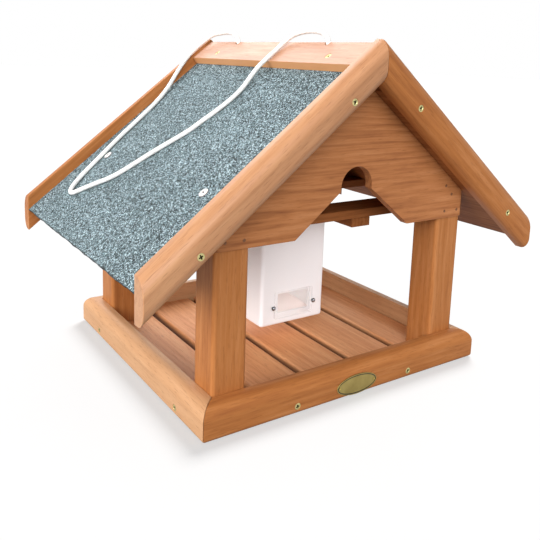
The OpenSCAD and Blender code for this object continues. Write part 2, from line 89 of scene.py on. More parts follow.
ahead = Vector((
    math.sin(YAW) * math.cos(PITCH_DOWN),
    math.cos(YAW) * math.cos(PITCH_DOWN),
    -math.sin(PITCH_DOWN),
))
level = Vector((math.cos(YAW), -math.sin(YAW), 0.0))
upright = level.cross(ahead)
right = level * math.cos(ROLL) + upright * math.sin(ROLL)
above = upright * math.cos(ROLL) - level * math.sin(ROLL)

camera_data = bpy.data.cameras.new("portrait_camera")
camera_data.sensor_width = SENSOR_MM
camera_data.lens = SENSOR_MM * FOCAL_PIXELS / PICTURE_PIXELS
camera_data.shift_y = (AXIS_ROW - PICTURE_PIXELS / 2) / PICTURE_PIXELS
camera = bpy.data.objects.new("portrait_camera", camera_data)
camera.matrix_world = Matrix((right, above, -ahead)).transposed().to_4x4()
camera.location = CAMERA_PLACE
scene.collection.objects.link(camera)
scene.camera = camera
print("lens:", round(camera_data.lens, 1), "mm, shift:", round(camera_data.shift_y, 3))

# %% [markdown]
# ## Colours and wires
#
# A material is a tree of nodes. Shaders work with amounts of light, but a colour is picked on a screen,
# so one helper turns the second into the first. The others connect a socket to another socket or to a
# plain value.

# %% Colours and wires
def screen(red, green, blue):
    """A colour as seen on a screen, as a shader colour."""
    def to_light(value):
        if value <= 0.04045:
            return value / 12.92
        return ((value + 0.055) / 1.055) ** 2.4
    return (to_light(red), to_light(green), to_light(blue), 1.0)


def wire(tree, socket, value):
    """Feeds a socket from another socket or from a plain value."""
    if isinstance(value, bpy.types.NodeSocket):
        tree.links.new(value, socket)
    else:
        socket.default_value = value


def feed(tree, node, values):
    """Feeds several sockets of a node by their names."""
    for label, value in values.items():
        wire(tree, node.inputs[label], value)


def shown(sockets, name):
    """The socket of that name which the node really uses."""
    return next(socket for socket in sockets if socket.name == name and socket.enabled)


print("white as light:", screen(1.0, 1.0, 1.0))

# %% [markdown]
# ## Sums and noise
#
# Wood, stone and plated metal are uneven, and noise is the raw stuff of all of them. Each helper adds one
# node to a tree and hands back the socket that comes out of it, so a finish reads like a recipe.

# %% Sums and noise
def calc(tree, operation, first, second=0.0, clamp=False):
    """A sum of one or two values."""
    node = tree.nodes.new("ShaderNodeMath")
    node.operation = operation
    node.use_clamp = clamp
    wire(tree, node.inputs[0], first)
    wire(tree, node.inputs[1], second)
    return node.outputs[0]


def scaled(tree, value, factor, offset):
    """The value times a factor, plus an offset."""
    node = tree.nodes.new("ShaderNodeMath")
    node.operation = "MULTIPLY_ADD"
    for socket, part in zip(node.inputs, (value, factor, offset)):
        wire(tree, socket, part)
    return node.outputs[0]


def split(tree, vector):
    """The X, Y and Z of a vector."""
    node = tree.nodes.new("ShaderNodeSeparateXYZ")
    wire(tree, node.inputs[0], vector)
    return node.outputs


def noise(tree, vector, scale, detail=2.0, roughness=0.5):
    """Cloudy noise from 0 to 1."""
    node = tree.nodes.new("ShaderNodeTexNoise")
    feed(tree, node, {"Vector": vector, "Scale": scale, "Detail": detail, "Roughness": roughness})
    return node.outputs["Fac"]


def streaks(tree, vector, stretch, detail=2.0, roughness=0.5):
    """Noise with its own scale in each direction."""
    node = tree.nodes.new("ShaderNodeVectorMath")
    node.operation = "MULTIPLY"
    wire(tree, node.inputs[0], vector)
    wire(tree, node.inputs[1], stretch)
    return noise(tree, node.outputs[0], 1.0, detail, roughness)


print("sum and noise helpers ready")

# %% [markdown]
# ## Colour and relief
#
# A ramp turns noise into colours, a mix lays one colour over another, and a bump gives relief that is too
# fine for the mesh. A finish also has to know where it is: the mesh can store a value for it, and the
# place of a point in the piece lets a pattern run through the solid material.

# %% Colour and relief
def ramp(tree, factor, stops):
    """A colour ramp; a stop is a place from 0 to 1 and a grey or a colour."""
    node = tree.nodes.new("ShaderNodeValToRGB")
    elements = node.color_ramp.elements
    while len(elements) < len(stops):
        elements.new(0.5)
    for element, (place, tone) in zip(elements, stops):
        element.position = place
        element.color = tone if isinstance(tone, tuple) else (tone, tone, tone, 1.0)
    wire(tree, node.inputs[0], factor)
    return node.outputs[0]


def mixed(tree, factor, first, second, mode="MIX"):
    """Two colours mixed by a factor."""
    node = tree.nodes.new("ShaderNodeMix")
    node.data_type = "RGBA"
    node.blend_type = mode
    wire(tree, shown(node.inputs, "Factor"), factor)
    wire(tree, shown(node.inputs, "A"), first)
    wire(tree, shown(node.inputs, "B"), second)
    return shown(node.outputs, "Result")


def bumped(tree, height, depth):
    """The normal of a surface whose relief is depth metres high."""
    node = tree.nodes.new("ShaderNodeBump")
    feed(tree, node, {"Strength": 1.0, "Distance": depth, "Height": height})
    return node.outputs["Normal"]


def attribute(tree, name, output="Fac"):
    """A value that is stored on the mesh."""
    node = tree.nodes.new("ShaderNodeAttribute")
    node.attribute_name = name
    return node.outputs[output]


def object_place(tree):
    """The place of a point in the piece."""
    return tree.nodes.new("ShaderNodeTexCoord").outputs["Object"]


print("colour and relief helpers ready")

# %% [markdown]
# ## Materials and shared groups
#
# An effect that several finishes share, such as the grain of the wood, is a node group. It is built once,
# with named inputs, and each material places it with values of its own.

# %% Materials and groups
def new_material(name):
    """A material with its node tree and its shader."""
    material = bpy.data.materials.new(name)
    material.use_nodes = True
    return material, material.node_tree, material.node_tree.nodes["Principled BSDF"]


def new_group(name, inputs, outputs):
    """An empty shader node group with its sockets, and its input and output nodes."""
    tree = bpy.data.node_groups.new(name, "ShaderNodeTree")
    for label, kind, value in inputs:
        socket = tree.interface.new_socket(label, in_out="INPUT", socket_type=kind)
        if value is not None:
            socket.default_value = value
    for label, kind in outputs:
        tree.interface.new_socket(label, in_out="OUTPUT", socket_type=kind)
    return tree, tree.nodes.new("NodeGroupInput"), tree.nodes.new("NodeGroupOutput")


def use_group(tree, group, values):
    """Places a group in a material and feeds its inputs."""
    node = tree.nodes.new("ShaderNodeGroup")
    node.node_tree = group
    feed(tree, node, values)
    return node


print("group helpers ready")

# %% [markdown]
# ## From a mesh to a piece
#
# A finished mesh becomes an object at the origin, with its place in the mesh itself. The piece then hides
# the solid it stands for and rides on the moving body that carries it.

# %% Pieces
WELD = 1e-6


def mesh_from(work, name):
    """Turns an edited mesh into a mesh of its own."""
    mesh = bpy.data.meshes.new(name)
    work.to_mesh(mesh)
    work.free()
    return mesh


def split_wide_faces(work):
    """Cuts faces of more than four corners into triangles."""
    bmesh.ops.triangulate(work, faces=[face for face in work.faces if len(face.verts) > 4])


def smooth(mesh, break_degrees):
    """Smooth shading that stops at edges sharper than an angle."""
    mesh.shade_smooth()
    mesh.set_sharp_from_angle(angle=math.radians(break_degrees))


def new_piece(name, mesh, material):
    """A finished mesh as an object at the origin."""
    mesh.materials.clear()
    mesh.materials.append(material)
    piece = bpy.data.objects.new(name, mesh)
    scene.collection.objects.link(piece)
    return piece


def slot_of(node):
    """The name of the finish that the solid carries."""
    return nodes[node].data.materials[0].name.split(".")[0]


def take_place(piece, node):
    """The piece hides the solid it stands for and rides on its body."""
    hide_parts(node)
    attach(piece, body_of[node])


print("slots:", sorted({slot_of(node) for node in nodes}))

# %% [markdown]
# ## The hanging cord: its route
#
# A white cotton cord comes out of two holes in the ridge and lies in one long loop over the left slope.
# It is limp, so it follows the felt, bends tightly at the tip of the loop and rises in a small bow at
# each hole. The points below are the middle of the cord in millimetres. A smooth curve through them is
# cut into equal steps, because the braid needs rings at equal distances.

# %% Cord route
CORD_POINTS = [
    (0, -88, 344), (0, -88, 350.5), (0, -84.5, 356.5), (0, -75, 360.5), (0, -60, 362),
    (0, -44, 361), (-2, -29, 357.5), (-7.5, -20.5, 350.2), (-16, -18, 341.9), (-27, -18.2, 333.2),
    (-37, -16, 323.5), (-44.5, -12.3, 312.3), (-53, -10.5, 300.6), (-66, -11.3, 289.6), (-82, -8, 276.9),
    (-98, -1.8, 264.1), (-112, 4, 253), (-139, 24.5, 231.5), (-166, 42, 210.1), (-178, 53, 200.5),
    (-188, 68, 192.6), (-198, 83, 184.6), (-206, 96, 178.2), (-203, 108, 180.6), (-190, 117, 191),
    (-164, 124.7, 211.7), (-136, 132, 234), (-109, 136, 255.4), (-87, 140.5, 273), (-68, 147, 290.4),
    (-53, 153, 308.5), (-40, 155.5, 325), (-27, 158, 337.5), (-13, 157, 349.5), (-4, 148, 358.5),
    (0, 131, 361.5), (0, 108, 362), (0, 93, 357.5), (0, 88, 350), (0, 88, 344),
]
CORD_RADIUS = 2.5 * MM
RING_STEP = 0.9 * MM
CUTS_BETWEEN_POINTS = 40


def travelled(points):
    """How far along the way each point lies."""
    return np.concatenate([[0.0], np.cumsum(np.linalg.norm(np.diff(points, axis=0), axis=1))])


def smooth_route(points, step):
    """A smooth curve through the points, cut into equal steps."""
    points = np.array(points, dtype=float)
    padded = np.vstack([2 * points[0] - points[1], points, 2 * points[-1] - points[-2]])
    share = np.linspace(0.0, 1.0, CUTS_BETWEEN_POINTS, endpoint=False)[:, None]
    pieces = []
    for before, start, end, after in zip(padded, padded[1:], padded[2:], padded[3:]):
        pieces.append(0.5 * (
            2 * start
            + (end - before) * share
            + (2 * before - 5 * start + 4 * end - after) * share ** 2
            + (3 * start - before - 3 * end + after) * share ** 3
        ))
    dense = np.vstack(pieces + [points[-1:]])
    gone = travelled(dense)
    count = max(2, int(round(gone[-1] / step)) + 1)
    wanted = np.linspace(0.0, gone[-1], count)
    route = np.column_stack([np.interp(wanted, gone, dense[:, axis]) for axis in range(3)])
    return route, gone[-1]


cord_route, cord_length = smooth_route(np.array(CORD_POINTS) * MM, RING_STEP)
print("cord:", round(cord_length, 3), "m in", len(cord_route), "rings")

# %% [markdown]
# ## The hanging cord: its braid
#
# A braided cord has two sets of strands that wind round it in opposite directions and pass over and under
# each other. A plain tube with a bump map would have a smooth outline, so the strands are raised in the
# mesh: the radius of each ring swells where a strand of either direction passes. The swell is also stored
# as an attribute, so that the grooves can get a little painted shade in a greyer cotton colour.

# %% Braided tube
BRAID_LOBES = 4
BRAID_PITCH = 8.5 * MM
BRAID_RISE = 0.04
TUBE_SIDES = 24
FIRST_SIDE = (0.3, 0.9, 0.1)


def tube_frames(route):
    """Two side directions for every ring, carried along the route without twist."""
    onward = np.gradient(route, axis=0)
    onward /= np.linalg.norm(onward, axis=1)[:, None]
    side = np.cross(onward[0], FIRST_SIDE)
    sides = []
    for direction in onward:
        side = side - direction * side.dot(direction)
        side = side / np.linalg.norm(side)
        sides.append(side)
    sides = np.array(sides)
    return sides, np.cross(onward, sides)


def braided_tube(name, route, radius):
    """A closed mesh tube along a route, with raised strands."""
    first, second = tube_frames(route)
    turn = np.arange(TUBE_SIDES) * 2 * math.pi / TUBE_SIDES
    angle, travel = np.meshgrid(turn, travelled(route) * 2 * math.pi / BRAID_PITCH)
    braid = np.maximum(np.cos(BRAID_LOBES * angle + travel), np.cos(BRAID_LOBES * angle - travel))
    reach = radius * (1.0 - BRAID_RISE + BRAID_RISE * braid)
    rings = (
        route[:, None, :]
        + first[:, None, :] * (np.cos(angle) * reach)[:, :, None]
        + second[:, None, :] * (np.sin(angle) * reach)[:, :, None]
    )
    last = (len(route) - 1) * TUBE_SIDES
    faces = []
    for base in range(0, last, TUBE_SIDES):
        for side in range(TUBE_SIDES):
            after = (side + 1) % TUBE_SIDES
            faces.append((base + side, base + after, base + TUBE_SIDES + after, base + TUBE_SIDES + side))
    faces.append(tuple(reversed(range(TUBE_SIDES))))
    faces.append(tuple(last + side for side in range(TUBE_SIDES)))
    mesh = bpy.data.meshes.new(name)
    mesh.from_pydata(rings.reshape(-1, 3).tolist(), [], faces)
    mesh.attributes.new("braid", "FLOAT", "POINT").data.foreach_set("value", braid.ravel())
    mesh.shade_smooth()
    return mesh


print("braid:", 2 * BRAID_LOBES, "strands,", round(BRAID_PITCH / MM, 1), "mm for one turn")

# %% [markdown]
# ## Cotton for the cord
#
# The cord is nearly white. What makes it read as cotton is the soft sheen of its fibres, a slightly
# darker painted shade between the strands and a fine fuzz. The fuzz is a very small noise that feeds
# the bump.

# %% Cotton
FUZZ_SCALE = 2600.0
FUZZ_DEPTH = 0.25 * MM
FUZZ_SHADE = 0.08

cotton, tree, shader = new_material("white_cotton")
fuzz = noise(tree, object_place(tree), FUZZ_SCALE, 2.0, 0.6)
# Painted shade: the cotton is greyer in the grooves between the strands.
groove_shade = ramp(tree, attribute(tree, "braid"), [(0.0, 0.0), (0.75, 1.0)])
strand = mixed(tree, groove_shade, screen(0.91, 0.90, 0.88), screen(0.98, 0.975, 0.965))
fuzz_tone = ramp(tree, fuzz, [(0.3, 0.55), (0.7, 1.0)])
feed(tree, shader, {
    "Base Color": mixed(tree, FUZZ_SHADE, strand, fuzz_tone, "MULTIPLY"),
    "Normal": bumped(tree, fuzz, FUZZ_DEPTH),
    "Roughness": 0.85,
    "Sheen Weight": 0.25,
})
print("material:", cotton.name)

# %% [markdown]
# ## Cord pieces
#
# The loop outside belongs to the lid in the simulation, but on the real feeder only its ends do: the
# middle stays where it lies on the felt. Here the loop and the two tails are fixed meshes that ride on no
# body. The tails run from their knots below up to the lid.

cord_mesh = braided_tube("hanging_cord_braid", cord_route, CORD_RADIUS)
cord_piece = new_piece("hanging_cord_braid", cord_mesh, cotton)
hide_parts("hanging_cord")
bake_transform(cord_piece)

for tail in ("cord_tail_front", "cord_tail_back"):
    low, high = (Vector(corner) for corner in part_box(tail))
    middle = (low + high) / 2
    heights = (low.z, middle.z, high.z)
    tail_route, tail_length = smooth_route([(middle.x, middle.y, height) for height in heights], RING_STEP)
    tail_mesh = braided_tube(tail + "_braid", tail_route, CORD_RADIUS)
    tail_piece = new_piece(tail + "_braid", tail_mesh, cotton)
    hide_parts(tail)
    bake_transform(tail_piece)
    print(tail, round(tail_length, 3), "m")

# %% [markdown]
# ## Stop knots
#
# Under each hanger bar the cord ends in an overhand knot that keeps it from slipping out. A trefoil curve
# is the shape of an overhand knot with its ends joined, so the same braided tube follows a trefoil that
# is pressed into the space of the solid knot.

# %% Knots
KNOT_STRAND = 2.3 * MM
KNOT_POINTS = 61


def connected(items, neighbours):
    """Groups of items that hang together, in the order of the items."""
    waiting = set(items)
    groups = []
    for start in items:
        if start not in waiting:
            continue
        waiting.remove(start)
        group = [start]
        for item in group:
            for other in neighbours(item):
                if other in waiting:
                    waiting.remove(other)
                    group.append(other)
        groups.append(group)
    return groups


def islands(node):
    """The separate solids of a node, each as an array of points."""
    def next_points(vertex):
        return [edge.other_vert(vertex) for edge in vertex.link_edges]
    work = bmesh.new()
    work.from_mesh(nodes[node].data)
    bmesh.ops.remove_doubles(work, verts=work.verts, dist=WELD)
    groups = connected(list(work.verts), next_points)
    found = [np.array([vertex.co for vertex in group], dtype=float) for group in groups]
    work.free()
    found.sort(key=lambda points: tuple(np.round(points.mean(axis=0), 5)))
    return found


turn = np.linspace(0.0, 2 * math.pi, KNOT_POINTS)
trefoil = np.column_stack([
    (np.sin(turn) + 2 * np.sin(2 * turn)) / 3,
    (np.cos(turn) - 2 * np.cos(2 * turn)) / 3,
    -np.sin(3 * turn),
])
knots = bmesh.new()
for points in islands("cord_knots"):
    low, high = points.min(axis=0), points.max(axis=0)
    room = (high - low) / 2 - KNOT_STRAND
    knot_route, knot_length = smooth_route((low + high) / 2 + trefoil * room, RING_STEP)
    knot = braided_tube("knot", knot_route, KNOT_STRAND)
    knots.from_mesh(knot)
    bpy.data.meshes.remove(knot)
    print("knot of", round(knot_length, 3), "m of cord")

knot_mesh = mesh_from(knots, "cord_knots_tied")
knot_mesh.shade_smooth()
take_place(new_piece("cord_knots_tied", knot_mesh, cotton), "cord_knots")

# %% [markdown]
# ## Stained pine: the growth rings
#
# The boards are softwood, planed smooth and stained orange-brown. Wood grain is solid: the growth rings
# are nested tubes round the heart of the tree, and a board shows where its faces cut them. So the grain
# group works in three dimensions. It takes a place in the board, with the trunk along X, measures the
# distance from the heart, bends that a little with slow noise, and turns it into rings.

# %% Grain group: rings
DRIFT_BEND = 30 * MM
RIPPLE_BEND = 2.2 * MM

grain_group, grain_in, grain_out = new_group(
    "pine_grain",
    [
        ("Grain", "NodeSocketVector", None),
        ("Ring Width", "NodeSocketFloat", 5 * MM),
        ("Ring Strength", "NodeSocketFloat", 0.3),
        ("Fibre Strength", "NodeSocketFloat", 0.5),
        ("Pale", "NodeSocketColor", None),
        ("Middle", "NodeSocketColor", None),
        ("Dark", "NodeSocketColor", None),
    ],
    [("Color", "NodeSocketColor"), ("Height", "NodeSocketFloat"), ("Gloss Break", "NodeSocketFloat")],
)
tree = grain_group
place = grain_in.outputs["Grain"]
drift = streaks(tree, place, (2.4, 11.0, 11.0))
ripple = streaks(tree, place, (9.0, 60.0, 60.0), 1.0)
parts = split(tree, place)
square = calc(
    tree, "ADD",
    calc(tree, "MULTIPLY", parts["Y"], parts["Y"]),
    calc(tree, "MULTIPLY", parts["Z"], parts["Z"]),
)
bent = calc(tree, "SQRT", square)
bent = calc(tree, "ADD", bent, calc(tree, "MULTIPLY", drift, DRIFT_BEND))
bent = calc(tree, "ADD", bent, calc(tree, "MULTIPLY", ripple, RIPPLE_BEND))
year = calc(tree, "FRACT", calc(tree, "DIVIDE", bent, grain_in.outputs["Ring Width"]))
late = ramp(tree, year, [(0.0, 0.0), (0.45, 0.12), (0.86, 1.0), (1.0, 0.0)])
print("ring nodes:", len(tree.nodes))

# %% [markdown]
# ## Stained pine: fibres and stain
#
# Long fibres and short dark pores come on top of the rings. Rings, fibres and broad streaks add up to one
# tone from 0 to 1, which picks a stain between pale, middle and dark. The same fibres and pores give the
# surface its relief and break up its gloss. One group serves all tones of the wood.

# %% Grain group: stain
PORE_SHADE = 0.30
FIBRE_RELIEF = 0.6
RING_RELIEF = 0.25

broad = streaks(tree, place, (3.0, 30.0, 30.0))
streak = streaks(tree, place, (15.0, 230.0, 230.0), 2.0, 0.55)
fibre = streaks(tree, place, (22.0, 620.0, 620.0), 3.0, 0.6)
pore = streaks(tree, place, (85.0, 1500.0, 1500.0), 1.0)
pore = ramp(tree, pore, [(0.60, 0.0), (0.72, 1.0)])
pore_depth = calc(tree, "MULTIPLY", pore, PORE_SHADE)
ring_shade = calc(tree, "MULTIPLY", late, grain_in.outputs["Ring Strength"])
fibre_shade = calc(tree, "SUBTRACT", fibre, 0.5)
fibre_shade = calc(tree, "MULTIPLY", fibre_shade, grain_in.outputs["Fibre Strength"])

tone = calc(tree, "ADD", scaled(tree, broad, 0.8, -0.50), scaled(tree, streak, 1.1, 0.0))
tone = calc(tree, "ADD", tone, ring_shade)
tone = calc(tree, "ADD", tone, fibre_shade, clamp=True)
lower = calc(tree, "MULTIPLY", tone, 2.0, clamp=True)
upper = calc(tree, "MULTIPLY", calc(tree, "SUBTRACT", tone, 0.5), 2.0, clamp=True)
stain = mixed(tree, lower, grain_in.outputs["Pale"], grain_in.outputs["Middle"])
stain = mixed(tree, upper, stain, grain_in.outputs["Dark"])
stain = mixed(tree, pore_depth, stain, screen(0.34, 0.18, 0.10))

height = calc(tree, "SUBTRACT", calc(tree, "MULTIPLY", fibre, FIBRE_RELIEF), pore_depth)
height = calc(tree, "SUBTRACT", height, calc(tree, "MULTIPLY", late, RING_RELIEF))
gloss_break = calc(tree, "ADD", calc(tree, "MULTIPLY", fibre, 0.5), pore_depth)
feed(tree, grain_out, {"Color": stain, "Height": height, "Gloss Break": gloss_break})
print("grain group nodes:", len(tree.nodes))

# %% [markdown]
# ## Painted shade and weather
#
# Wood that is used does not stay even. What lies below the top of the slats is darker: painted shade in
# the gaps between them. The ridge boards fade from above, and faces that look down keep a golden tone,
# which is also a painted highlight. Both are small functions that take a stain and hand back the changed
# one.

# %% Painted shade and weather
SLAT_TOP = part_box("floor_slat_1")[1][2]
GAP_SHADE_DEPTH = 6.0 * MM


def gap_painted_shade(tree, stain):
    """Paints shade on what lies below the top of the slats."""
    height = split(tree, object_place(tree))["Z"]
    # Painted shade in the gaps: darker the deeper a point lies below the slat top.
    gap_shade = scaled(tree, height, -1.0 / GAP_SHADE_DEPTH, SLAT_TOP / GAP_SHADE_DEPTH)
    gap_shade = ramp(tree, gap_shade, [(0.04, 0.0), (0.3, 0.28), (1.0, 0.68)])
    return mixed(tree, gap_shade, stain, screen(0.30, 0.15, 0.07))


def golden_underside_with_highlight(tree, stain):
    """Makes faces that look down golden: wood that sun and rain have not faded, with a painted highlight.
    """
    facing_up = split(tree, tree.nodes.new("ShaderNodeNewGeometry").outputs["Normal"])["Z"]
    sheltered_and_highlit = ramp(tree, scaled(tree, facing_up, -1.0, 0.0), [(0.2, 0.0), (0.5, 0.7)])
    # Painted highlight: the down-facing faces are lifted to a bright golden tone.
    return mixed(tree, sheltered_and_highlit, stain, screen(0.97, 0.69, 0.45))


print("slat top:", round(SLAT_TOP / MM, 1), "mm")

# %% [markdown]
# ## One wood in seven tones
#
# The feeder is all pine, but no two boards take the stain alike. Posts, front board and most barge boards
# are a warm orange, and the gables show more grain. The other tray boards came out like honey and the left
# barge board a little rosy; both tones are paler, which also paints the strong light on the left tray
# board and the left barge board. The slats are paler. The ridge boards are faded by the weather, and their
# pale tone also holds a painted sheen. The hidden laths are raw, and their darker tone is painted shade
# for their place under the roof. Two tables keep this in one place: what a tone is, and which boards have
# it.

# %% Wood tones
# A tone is pale, middle and dark stain, strength of rings, strength of fibres, varnish, and a touch of
# wear and painted light.
WOOD_TONES = {
    "orange_pine": ((0.73, 0.49, 0.30), (0.66, 0.415, 0.22), (0.55, 0.32, 0.165), 0.10, 0.36, 0.3, None),
    "gable_pine": ((0.76, 0.525, 0.35), (0.68, 0.44, 0.265), (0.51, 0.30, 0.175), 0.24, 0.50, 0.3, None),
    # Honey and rose are paler, which also paints the strong light on the left tray and barge boards.
    "honey_pine": ((0.80, 0.62, 0.465), (0.76, 0.575, 0.415), (0.70, 0.51, 0.355), 0.06, 0.24, 0.4, None),
    "rose_pine": ((0.77, 0.58, 0.42), (0.71, 0.51, 0.36), (0.64, 0.44, 0.295), 0.08, 0.26, 0.9, None),
    # Raw laths: the darker tone is painted shade for their place under the roof.
    "raw_pine": ((0.64, 0.41, 0.24), (0.55, 0.33, 0.175), (0.42, 0.235, 0.115), 0.15, 0.40, 0.0, None),
    "slat_pine": (
        (0.90, 0.675, 0.49), (0.83, 0.575, 0.385), (0.76, 0.495, 0.315), 0.05, 0.20, 0.2, gap_painted_shade),
    # Faded ridge: the pale tone also holds a painted sheen.
    "faded_pine": (
        (0.78, 0.60, 0.49), (0.71, 0.51, 0.385), (0.62, 0.42, 0.30), 0.10, 0.35, 0.9, golden_underside_with_highlight),
}
# The first rule whose start fits the name of a board gives its tone.
WOOD_RULES = [
    ("ridge_board", "faded_pine"), ("floor_slat", "slat_pine"), ("roof_panel", "raw_pine"),
    ("lid_key", "raw_pine"), ("hanger_bar", "raw_pine"), ("cross_board", "raw_pine"),
    ("silo_rail", "raw_pine"), ("tray_board_front", "orange_pine"), ("tray_board", "honey_pine"),
    ("barge_front_left", "rose_pine"), ("barge", "orange_pine"), ("gable", "gable_pine"),
    ("post", "orange_pine"),
]
print("tones:", len(WOOD_TONES), "rules:", len(WOOD_RULES))

# %% [markdown]
# ## Stain and varnish
#
# The stain soaks in and the varnish lies on top. A thin varnish gives a satin gloss that the fibres break
# up, most of all on the ridge and the left barge board, so its amount sets roughness, gloss and clear
# coat together. All seven woods come out of one function.

# %% Wood materials
BARE_ROUGHNESS = 0.50
VARNISH_SMOOTHS = 0.18
FIBRE_ROUGHENS = 0.3
BARE_GLOSS = 0.10
VARNISH_GLOSS = 0.15
VARNISH_COAT = 0.20
GRAIN_RELIEF = 0.03 * MM


def stained_wood(name, pale, middle, dark, ring_strength, fibre_strength, varnish, wear_and_light):
    """A wood material in one tone."""
    material, tree, shader = new_material(name)
    figure = use_group(tree, grain_group, {
        "Grain": attribute(tree, "grain", "Vector"),
        "Ring Strength": ring_strength,
        "Fibre Strength": fibre_strength,
        "Pale": screen(*pale),
        "Middle": screen(*middle),
        "Dark": screen(*dark),
    })
    stain = figure.outputs["Color"]
    if wear_and_light is not None:
        stain = wear_and_light(tree, stain)
    base_roughness = BARE_ROUGHNESS - VARNISH_SMOOTHS * varnish
    feed(tree, shader, {
        "Base Color": stain,
        "Roughness": scaled(tree, figure.outputs["Gloss Break"], FIBRE_ROUGHENS, base_roughness),
        "Normal": bumped(tree, figure.outputs["Height"], GRAIN_RELIEF),
        "Specular IOR Level": BARE_GLOSS + VARNISH_GLOSS * varnish,
        "Coat Weight": VARNISH_COAT * varnish,
        "Coat Roughness": 0.28,
    })
    return material


woods = {name: stained_wood(name, *tone) for name, tone in WOOD_TONES.items()}
print("woods:", sorted(woods))

# %% [markdown]
# ## Eased edges
#
# A planed board never has a razor edge: sandpaper takes off about half a millimetre, and that thin strip
# catches the light and makes the dark line where two boards meet. To find what to ease, a copy of the
# solid is merged and its flat faces are made whole. Then its sharp edges are followed from end to end,
# and short closed chains are dropped, because they are the rims of screw holes.

# %% Edge finding
HOLE_RIM = 16 * MM
SHARP = math.radians(28)
FLAT = math.radians(0.5)


def long_sharp_edges(work):
    """Sharp edges, without the closed rims of small holes."""
    def next_edges(edge):
        return [other for vertex in edge.verts for other in vertex.link_edges]
    sharp = [edge for edge in work.edges if edge.is_manifold and edge.calc_face_angle(0.0) > SHARP]
    kept = []
    for chain in connected(sharp, next_edges):
        points = np.array([vertex.co for edge in chain for vertex in edge.verts])
        if np.ptp(points, axis=0).max() > HOLE_RIM:
            kept.extend(chain)
    return kept


def merged_copy(node):
    """A copy of a solid with its triangles joined and its flat faces made whole."""
    work = bmesh.new()
    work.from_mesh(nodes[node].data)
    bmesh.ops.remove_doubles(work, verts=work.verts, dist=WELD)
    bmesh.ops.dissolve_limit(work, angle_limit=FLAT, verts=work.verts[:], edges=work.edges[:])
    return work


print("hole rims: up to", round(HOLE_RIM / MM), "mm")

# %% [markdown]
# ## Rounding over
#
# A bevel of two segments is enough for sandpaper. Smooth shading makes it round, but it would also bend
# the light on the flat faces next to it, so the normals are weighted towards the large faces.

# %% Edge rounding
SHADING_BREAK = 50
FLAT_FACE_WEIGHT = 60


def round_edges(work, edges, reach, segments=2):
    """Rounds edges by a reach to each side."""
    bmesh.ops.bevel(
        work, geom=edges, offset=reach, offset_type="OFFSET", segments=segments,
        profile=0.5, affect="EDGES", clamp_overlap=True)


def smooth_mesh(work, name):
    """The edited mesh with smooth shading over its rounded edges."""
    split_wide_faces(work)
    mesh = mesh_from(work, name)
    smooth(mesh, SHADING_BREAK)
    return mesh


def eased_copy(node, name, ease):
    """A merged copy of a solid with its long sharp edges rounded."""
    work = merged_copy(node)
    round_edges(work, long_sharp_edges(work), ease)
    return smooth_mesh(work, name)


def flatten_normals(piece):
    """Keeps flat faces flat while the eased edges stay smooth."""
    modifier = piece.modifiers.new("flat_faces", "WEIGHTED_NORMAL")
    modifier.keep_sharp = True
    modifier.weight = FLAT_FACE_WEIGHT


print("shading breaks at", SHADING_BREAK, "degrees")

# %% [markdown]
# ## Boards out of a tree
#
# Every point of a board is given its place in the tree it was sawn from, so that the grain runs along the
# board and no two boards show the same rings. Distance and bearing of the heart, and the place along the
# trunk, are drawn by a seeded chance.

# %% Board maker
EASE = 0.6 * MM
HEART_DISTANCE = (0.045, 0.10)
TRUNK_REACH = 0.5
STEEP = 0.8
ALONG_X = (1.0, 0.0, 0.0)
ALONG_Y = (0.0, 1.0, 0.0)
ALONG_Z = (0.0, 0.0, 1.0)


def lay_grain(mesh, along, seed):
    """Gives every point its place in the tree: X along the trunk, the heart at Y = Z = 0."""
    draw = random.Random(seed)
    along = np.array(Vector(along).normalized())
    across = np.cross(ALONG_Z if abs(along[2]) < STEEP else ALONG_Y, along)
    across /= np.linalg.norm(across)
    through = np.cross(along, across)
    points = np.empty(len(mesh.vertices) * 3)
    mesh.vertices.foreach_get("co", points)
    points = points.reshape(-1, 3)
    points = points - (points.min(axis=0) + points.max(axis=0)) / 2
    distance = draw.uniform(*HEART_DISTANCE)
    bearing = draw.uniform(0.0, 2 * math.pi)
    start = draw.uniform(-TRUNK_REACH, TRUNK_REACH)
    grain = np.column_stack([
        points @ along + start,
        points @ across + distance * math.cos(bearing),
        points @ through + distance * math.sin(bearing),
    ])
    mesh.attributes.new("grain", "FLOAT_VECTOR", "POINT").data.foreach_set("vector", grain.ravel())


def first_match(rules, node):
    """The value of the first rule whose start fits the node's name."""
    return next(value for start, value in rules if node.startswith(start))


def make_board(node, along, seed):
    """A planed and stained board in the place of its solid."""
    mesh = eased_copy(node, node + "_board", EASE)
    lay_grain(mesh, along, seed)
    piece = new_piece(node + "_planed", mesh, woods[first_match(WOOD_RULES, node)])
    flatten_normals(piece)
    take_place(piece, node)
    return piece


print("eased by", round(EASE / MM, 1), "mm")

# %% [markdown]
# ## All the boards
#
# Which way the grain runs is a maker's decision. It follows the length of each board: along the tray
# sides, up the posts, along the slats and the ridge, down the slope in the barge boards. The gables are
# wide panels with the grain lying flat, as the photograph shows by their level bands. The slope is read
# from the felt: of its faces that look up, the largest gives the direction.

# %% Boards
UPWARD = 0.1
WOOD_SLOTS = ("tray_wood", "pale_wood")
FIRST_BOARD_SEED = 1000

face_areas = {}
for polygon in nodes["felt_left"].data.polygons:
    if polygon.normal.z > UPWARD:
        key = tuple(round(value, 3) for value in polygon.normal)
        face_areas[key] = face_areas.get(key, 0.0) + polygon.area
left_normal = Vector(max(face_areas, key=face_areas.get)).normalized()
roof_pitch = math.asin(-left_normal.x)
down_left = Vector((-math.cos(roof_pitch), 0.0, -math.sin(roof_pitch)))
down_right = Vector((math.cos(roof_pitch), 0.0, -math.sin(roof_pitch)))

